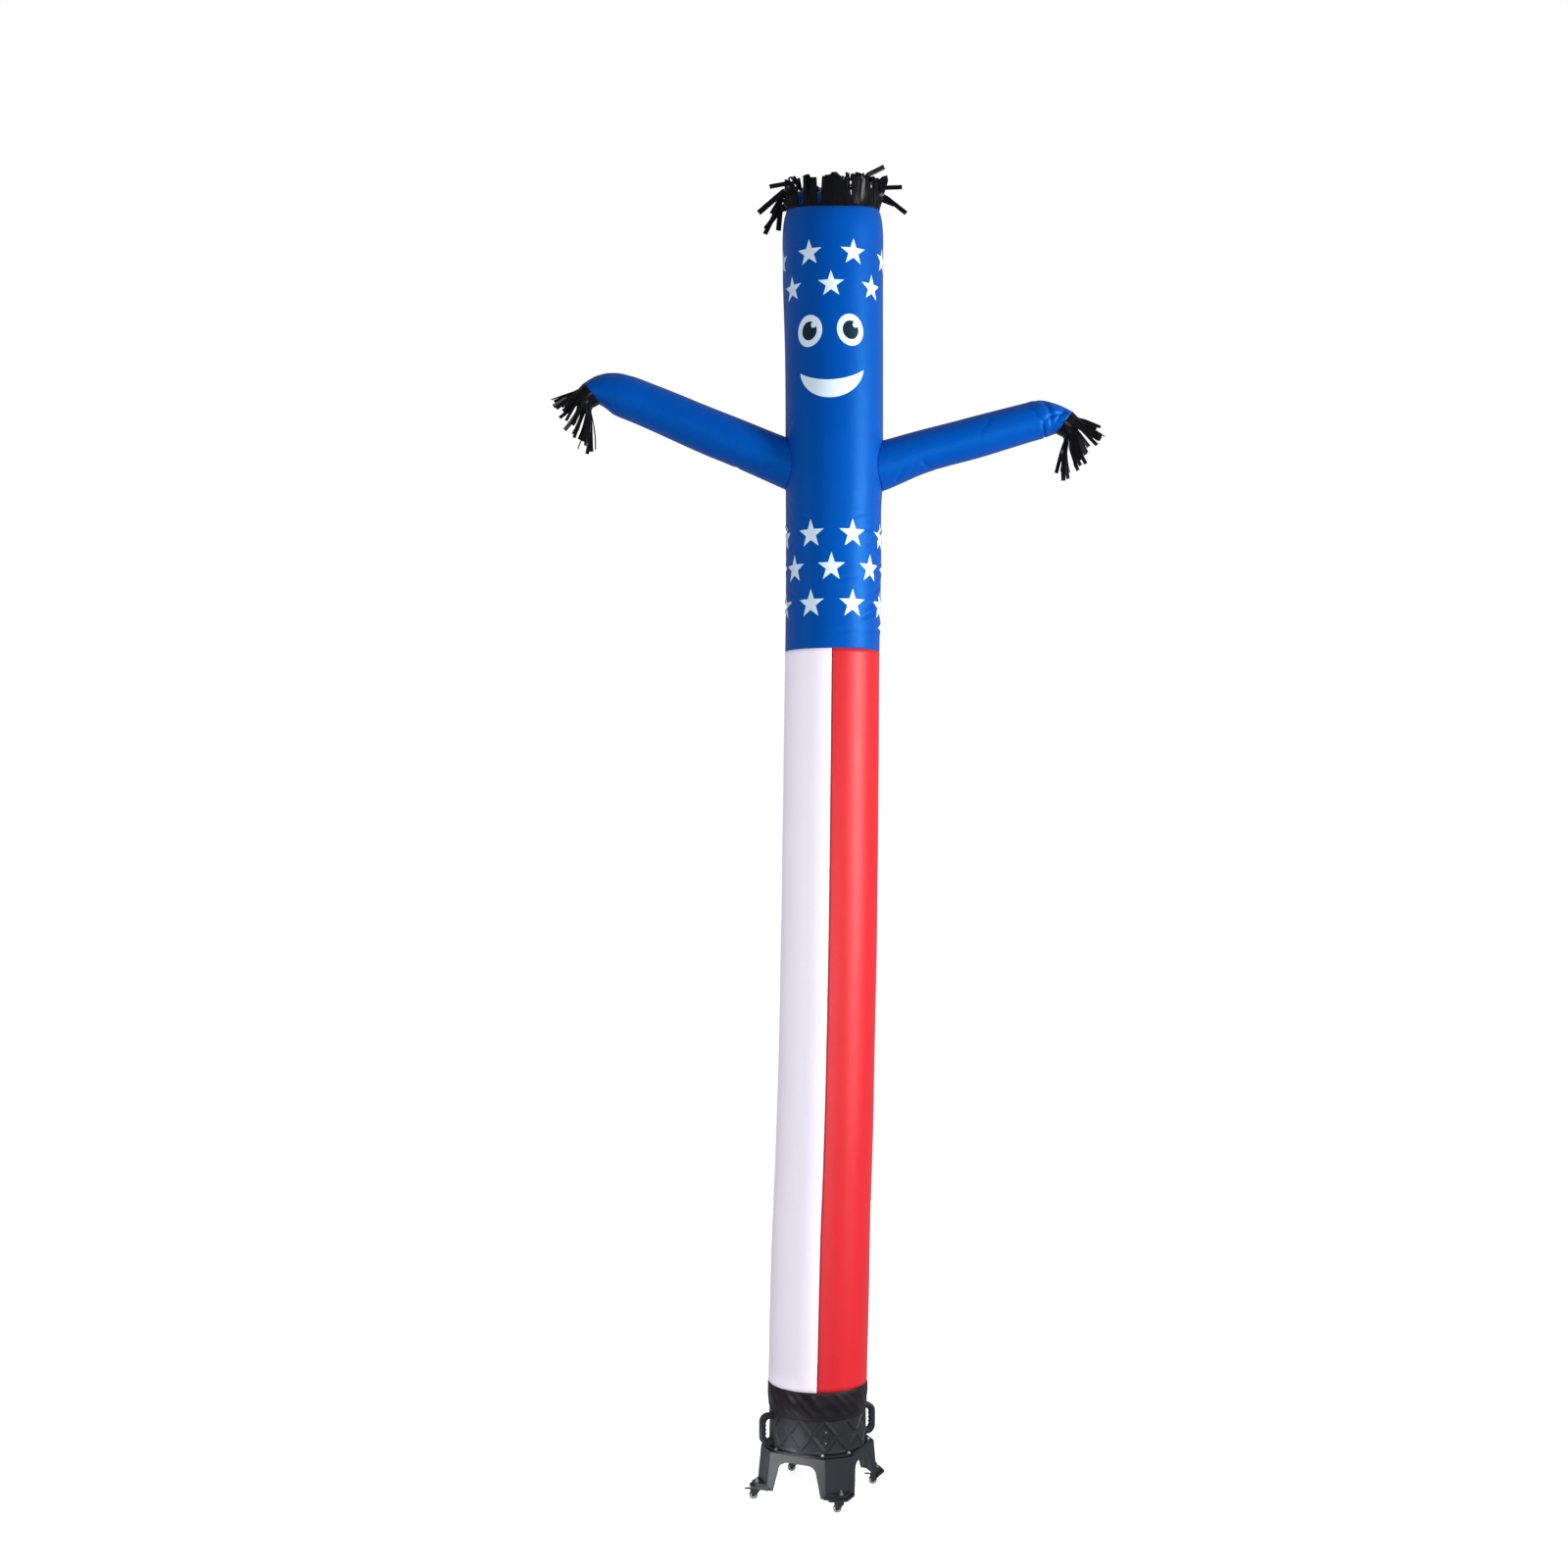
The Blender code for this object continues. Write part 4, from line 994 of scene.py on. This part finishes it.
def plastic(name, colour, rough=0.42):
    """Moulded plastic: fine grain, faint scuffs, uneven gloss, and painted shade that darkens its
    corners and crevices.
    """
    look = Look(name)
    scuff = look.noise(22, 5, 0.7)
    lighter = tuple(c * 1.5 + 0.004 for c in colour)
    base = look.mix(scuff**3, colour, lighter)
    # Painted shade: ambient occlusion darkens the colour towards near black in corners, crevices
    # and beside the ribs
    unshaded = look.node("AmbientOcclusion", {"Distance": PAINTED_SHADE_REACH}, "AO", samples=8) ** 2.5
    look.set(Base_Color=look.mix(unshaded, PAINTED_SHADE, base), Specular_IOR_Level=0.17)
    look.set(Roughness=scuff * 0.14 + (rough - 0.06))
    look.bumps((look.noise(900, 2), 0.00006), (look.noise(70, 2), 0.0001), rounding=0.004)
    return look


def metal(name, colour, rough=0.28):
    look = Look(name)
    worn = look.noise(120, 4, 0.65)
    darker = tuple(c * 0.7 for c in colour)
    look.set(Base_Color=look.mix(worn, colour, darker), Metallic=1)
    look.set(Roughness=worn * 0.18 + (rough - 0.08))
    look.bumps((look.noise(700, 2), 0.00003), (worn, 0.00005), rounding=0.0006)
    return look


def wheel_look(name, node):
    """Black tread, a pale ring on each face and a steel cap at the axle."""
    look = Look(name)
    low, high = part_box(node)
    x, _, z = look.split(look.object())
    x = x - (low[0] + high[0]) / 2
    z = z - (low[2] + high[2]) / 2
    out = (x * x + z * z).root()
    ring = edge(abs(out - 0.0125) - 0.0014, 0.0003)
    cap = edge(out - 0.0058, 0.0003)
    dust = look.noise(160, 4, 0.7)
    base = look.mix(dust, (0.01, 0.01, 0.011), (0.03, 0.029, 0.028))
    base = look.mix(ring, base, (0.6, 0.6, 0.6))
    look.set(Base_Color=look.mix(cap, base, (0.55, 0.55, 0.54)), Metallic=cap)
    look.set(Roughness=dust * 0.15 + 0.6 - ring.larger(cap) * 0.35)
    look.bumps((look.noise(1200, 2), 0.00005), (dust, 0.0001), rounding=0.0012)
    return look


def hook_tape(name):
    look = Look(name)
    x, y = look.split(look.object())[:2]
    rib = ((x - BLOWER_X).arctan2(y) * 360).sine()
    look.set(Base_Color=look.mix(rib, (0.006, 0.006, 0.008), (0.022, 0.022, 0.026)))
    look.set(Roughness=0.85, Sheen_Weight=0.4)
    look.bumps((rib, 0.0004), (look.noise(900, 2), 0.0002))
    return look


# Blower

LATTICE_TURN = 7  # turn of one of the points where the ribs meet at the top
LATTICE_COUNT = 12
LATTICE_LOW, LATTICE_HIGH = 0.252, 0.392
LATTICE_COLUMNS = 600
LATTICE_ROWS = 96
SKIN_ENDS = (0.2345, 0.4005)
SKIN_OUT = 0.0006
BAND_RISE = 0.0022
RIB_RISE = 0.0056
RIB_HALF = 0.0105
RIB_FLANK = 1.7  # how steeply a rib's sides rise to its flat top
HANDLE_TURNS = (110, 290)
HANDLE_BOTTOM, HANDLE_TOP = 0.2435, 0.3915
HANDLE_HIGH = (HANDLE_TOP - HANDLE_BOTTOM) / 2
HANDLE_MIDDLE = (HANDLE_TOP + HANDLE_BOTTOM) / 2
HANDLE_ROOT = DRUM_RADIUS * 0.997
HANDLE_REACH = 0.288
HANDLE_HEART = HANDLE_REACH - 0.05  # the reach that the rounded edges lean away from
HANDLE_BAR = 0.026
HANDLE_HALF = 0.014
GRIP_WAVES = 5
GRIP_CORNER = 0.04
GRIP_HOLLOW_CORNER = 0.022
GRIP_POINTS = 121
GRIP_ROUND = 0.005
SCALLOP = 0.0045
PLATE_SCREWS = (0.12, 0.88)  # up the tether plate, as shares of its height
SCREW_RADIUS = 0.0042
SCREW_SIDES = 14
SCREW_RINGS = (0, 0.35, 0.65, 0.9)  # shares of a right angle from the face to the top
GRIP_SCREWS = (
    (0.238, -HANDLE_HIGH + 0.014),
    (0.268, -HANDLE_HIGH + 0.026),
    (0.275, 0),
    (0.268, HANDLE_HIGH - 0.026),
    (0.238, HANDLE_HIGH - 0.014),
)


def drum_lattice(look):
    """Moulded skin of the drum with its crossed ribs and a raised band above and below."""
    turns = turns_round(LATTICE_COLUMNS, 0)
    heights = column(*SKIN_ENDS, LATTICE_ROWS)
    pitch = 360 / LATTICE_COUNT
    tall = LATTICE_HIGH - LATTICE_LOW
    share = (heights - LATTICE_LOW) / tall
    square_on = sin(atan2(tall, radians(pitch) * DRUM_RADIUS))
    near = 1
    for way in (-1, 1):
        line = turns - LATTICE_TURN - way * (1 - share) * pitch
        off = (line + pitch / 2) % pitch - pitch / 2
        near = np.minimum(near, np.abs(np.radians(off)) * DRUM_RADIUS * square_on)
    inside = (share > -0.02) & (share < 1.02)
    slope = np.clip(RIB_FLANK * (1 - near / RIB_HALF), 0, 1)
    rib = slope**2 * (3 - 2 * slope) * inside
    bands = bump_at(heights, LATTICE_LOW - 0.009, 0.0055)
    bands = bands + bump_at(heights, LATTICE_HIGH + 0.004, 0.0035)
    rise = np.maximum(rib * RIB_RISE, BAND_RISE * bands)
    for turn in HANDLE_TURNS:
        rise = rise * np.clip((np.abs(apart(turns, turn)) - 5) / 4, 0, 1)
    outer = around(turns, DRUM_RADIUS + SKIN_OUT + rise, heights)
    foot, head = (around(turns, DRUM_RADIUS - 0.0015, level) for level in heights[[0, -1]])
    made = grid("drum_lattice", np.concatenate([foot, outer, head, foot]), look, closed=True)
    made.data.set_sharp_from_angle(angle=radians(60))
    belong(made)


def even_points(corners, count):
    """Points at even steps along a line of corners."""
    steps = np.append(0, np.cumsum(np.linalg.norm(np.diff(corners, axis=0), axis=1)))
    at = np.linspace(0, steps[-1], count)
    return np.stack([np.interp(at, steps, places) for places in np.transpose(corners)], axis=1)


def grip_outline(reach, high, corner):
    """Out from the drum's lower foot, round the grip and back to the upper foot."""
    points = [(HANDLE_ROOT, -high)]
    for level, first in ((corner - high, -90), (high - corner, 0)):
        for k in range(13):
            angle = radians(first + 90 * k / 12)
            out, up = corner * (cos(angle) - 1), corner * sin(angle)
            points.append((reach + out, level + up))
    return [*points, (HANDLE_ROOT, high)]


def handle(node, turn, look):
    """Moulded grip with finger scallops along its inside."""
    outer = even_points(grip_outline(HANDLE_REACH, HANDLE_HIGH, GRIP_CORNER), GRIP_POINTS)
    hollow = (HANDLE_REACH - HANDLE_BAR, HANDLE_HIGH - HANDLE_BAR)
    inner = even_points(grip_outline(*hollow, GRIP_HOLLOW_CORNER), GRIP_POINTS)
    straight = np.clip((hollow[1] - 0.008 - np.abs(inner[:, 1])) / 0.006, 0, 1)
    waves = np.abs(np.sin(inner[:, 1] / hollow[1] * pi * GRIP_WAVES / 2))
    at_grip = inner[:, 0] > hollow[0] - 0.003
    inner[:, 0] -= SCALLOP * (1 - waves) * straight * at_grip
    edges = ((-1, GRIP_ROUND), (-1, 0), (1, 0), (1, GRIP_ROUND))
    ring = [(outer, way, -inset) for way, inset in edges]
    ring += [(inner, way, inset) for way, inset in reversed(edges)]
    out, aside = (np.array(direction) for direction in directions(turn))
    lines = []
    for line, way, inset in ring:
        thick = way * (HANDLE_HALF if inset else HANDLE_HALF - GRIP_ROUND * 0.7)
        away = line - (HANDLE_HEART, 0)
        at = line + away / np.linalg.norm(away, axis=1, keepdims=True) * inset
        at[[0, -1], 0] = HANDLE_ROOT
        middle = (BLOWER_X, 0, HANDLE_MIDDLE) + thick * aside
        lines.append(middle + at[:, :1] * out + at[:, 1:] * (0, 0, 1))
    points = np.stack(lines, axis=1)
    faces = quads(*points.shape[:2], closed=True)[1].tolist()
    numbers = list(range(points.size // 3))
    faces += [numbers[:1] + numbers[len(ring) - 1 : 0 : -1], numbers[-len(ring) :]]
    made = piece(f"grip_{node}", points.reshape(-1, 3).tolist(), faces, look)
    made.data.set_sharp_from_angle(angle=radians(50))
    belong(made, node)


def screws(name, places, high, look):
    """One piece of round-headed screws, each at a place and facing a way."""
    points, faces = [], []
    for place, axis in places:
        across = axis.orthogonal().normalized()
        other = axis.cross(across)
        first = len(points)
        for share in SCREW_RINGS:
            lift = share * pi / 2
            for angle in np.arange(SCREW_SIDES) * tau / SCREW_SIDES:
                wide = (across * cos(angle) + other * sin(angle)) * SCREW_RADIUS
                points.append(place + wide * cos(lift) + axis * high * sin(lift))
        numbers = quads(len(SCREW_RINGS), SCREW_SIDES, closed=True)[1]
        faces += (numbers + first).tolist()
        faces.append(list(range(len(points) - SCREW_SIDES, len(points))))
    belong(piece(name, points, faces, look))


def grip_screws(look):
    """Five screws on each broad side of both handles."""
    places = []
    for turn in HANDLE_TURNS:
        out, aside = directions(turn)
        for reach, level in GRIP_SCREWS:
            middle = Vector((BLOWER_X, 0, HANDLE_MIDDLE + level)) + out * reach
            places += [(middle + way * HANDLE_HALF, way) for way in (-aside, aside)]
    screws("grip_screws", places, 0.0022, look)


def plate_screws(look):
    """The bright screws at the foot and the head of the tether plate."""
    low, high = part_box("tether_plate")
    x = (low[0] + high[0]) / 2
    levels = [low[2] + share * (high[2] - low[2]) for share in PLATE_SCREWS]
    places = [(Vector((x, low[1] + 0.0004, level)), Vector((0, -1, 0))) for level in levels]
    screws("plate_screws", places, 0.0028, look)


def dress(look, *prefixes):
    """Gives CAD nodes their material."""
    for name in frame["nodes"]:
        if name.startswith(prefixes):
            for slot in bpy.data.objects[name].material_slots:
                slot.material = look.material


# Studio
FLOOR_HALF = 7
FLOOR_LEVEL = -0.0015
WHITE = (1, 1, 1)
WORLD_COLOUR = (0.93, 0.95, 1)
WORLD_STRENGTH = 0.34

# Lamps: name, place, what it points at, width and height, power, colour, spread in degrees
LIGHTS = (
    ("Key", (7.2, -3.4, 4.2), (0, 0, 3.6), (1.4, 5.4), 860, (1, 0.99, 0.98), 180),
    ("Front", (1, -8, 1.4), (0, 0, 4.4), (3, 2.4), 260, WHITE, 180),
    ("Blower", (-2.4, -2, 0.3), (-0.05, 0, 0.12), (0.3, 0.2), 1.7, WHITE, 16),
    ("Left", (-6, -3, 2.8), (0, 0, 4), (2.5, 4.6), 90, (0.95, 0.97, 1), 180),
    ("Back", (-1, 9, 3), (0, 0, 3), (4, 7), 250, WHITE, 180),
)


def camera():
    data = bpy.data.cameras.new("Camera")
    data.sensor_width = SENSOR
    data.lens = SENSOR * FOCAL_PIXELS / FRAME_PIXELS
    data.shift_y = (HORIZON_PIXEL - FRAME_PIXELS / 2) / FRAME_PIXELS
    x = BLOWER_X - (AXIS_PIXEL - FRAME_PIXELS / 2) * CAMERA_DISTANCE / FOCAL_PIXELS
    obj = link(bpy.data.objects.new("Camera", data))
    obj.location = (x, -CAMERA_DISTANCE, EYE_LEVEL)
    obj.rotation_euler = (radians(90), 0, 0)
    bpy.context.scene.camera = obj


def area_light(name, place, target, size, power, colour, spread):
    data = bpy.data.lights.new(name, "AREA")
    data.shape = "RECTANGLE"
    data.size, data.size_y = size
    data.energy = power
    data.color = colour
    data.spread = radians(spread)
    obj = link(bpy.data.objects.new(name, data))
    obj.location = place
    obj.rotation_euler = (Vector(target) - Vector(place)).to_track_quat("-Z", "Y").to_euler()
    return obj


def floor():
    """A plain pale floor that reads as white with a faint shadow and throws no light back."""
    look = Look("Pale floor")
    mottled = look.mix(look.noise(0.8), (0.8, 0.8, 0.81), (0.84, 0.84, 0.85))
    look.set(Base_Color=mottled, Roughness=0.8, Specular_IOR_Level=0)
    look.set(Emission_Color=WHITE, Emission_Strength=0.72)
    signs = ((-1, -1), (1, -1), (1, 1), (-1, 1))
    corners = [(x * FLOOR_HALF, y * FLOOR_HALF, FLOOR_LEVEL) for x, y in signs]
    made = piece("floor", corners, [(0, 1, 2, 3)], look)
    made.visible_diffuse = made.visible_glossy = False


def world():
    """A white backdrop that lights the figure less than it shows."""
    made = bpy.data.worlds.new("White studio")
    nodes = Nodes(made)
    seen = nodes.node("Background", {"Color": WHITE})
    lit = nodes.node("Background", {"Color": WORLD_COLOUR, "Strength": WORLD_STRENGTH})
    direct = nodes.node("LightPath", {}, "Is Camera Ray")
    mixed = nodes.node("MixShader", {0: direct, 1: lit, 2: seen})
    nodes.put(nodes.tree.nodes["World Output"].inputs["Surface"], mixed)
    bpy.context.scene.world = made


def studio():
    world()
    lamps = [area_light(*row) for row in LIGHTS]
    lamps[-1].visible_glossy = False
    floor()
    bpy.context.scene.view_settings.view_transform = "Standard"


def dress_cloth():
    """Every cloth piece with its own nylon, and the fringes."""
    tube_hems = ((1, TUBE_BOTTOM + HEM), (1, SHOULDER_HEIGHT + TOP_HEM))
    upper_tube(nylon(PRINTED, BLUES, tube_hems, **BLUE_LOOK))
    head_cap(nylon("Cap nylon", BLUES, **BLUE_LOOK))
    for name, side, table, fold_table in ARMS:
        hems = ((1, table[-1][0] - HEM),)
        look = nylon(f"Sleeve nylon {name}", BLUES, hems, **BLUE_LOOK)
        arm(name, side, table, fold_table, look)
    for colour, turn, dyes, style in PANELS:
        look = nylon(f"{colour.title()} nylon", dyes, panel_hems(turn), **style)
        panel(colour, turn, look)
    collar_hems = ((1, COLLAR_SECTIONS[-1][0] - HEM), (1, COLLAR_SECTIONS[0][0] + HEM))
    collar(nylon("Black nylon", BLACKS, collar_hems, **BLACK_LOOK))
    strip = shiny_strip("Black strips")
    head_fringe(strip)
    for name, side, table, _ in ARMS:
        hand_fringe(name, side, table, strip)


def dress_blower():
    """The hard parts: new skins on the drum and handles, better materials on the rest."""
    charcoal = plastic("Charcoal plastic", CHARCOAL)
    steel = metal("Zinc steel", ZINC)
    dark_steel = metal("Black steel", BLACK_STEEL, 0.4)
    dress(charcoal, "stand", "drum", "rim")
    drum_lattice(charcoal)
    for side, turn in zip(("right", "left"), HANDLE_TURNS):
        handle(f"handle_{side}", turn, charcoal)
    grip_screws(dark_steel)
    plate_screws(steel)
    dress(hook_tape("Hook tape"), "hook_band")
    dress(plastic("Coated wire", WIRE_BLACK, 0.35), "grille")
    dress(steel, "base_bolt")
    dress(dark_steel, "tether")
    for k in range(1, 5):
        dress(steel, f"caster_{k}_stem")
        dress(dark_steel, f"caster_{k}_fork", f"caster_{k}_pedal")
        wheel = f"caster_{k}_wheel"
        dress(wheel_look(f"Wheel {k}", wheel), wheel)


def main():
    camera()
    dress_cloth()
    dress_blower()
    studio()


main()
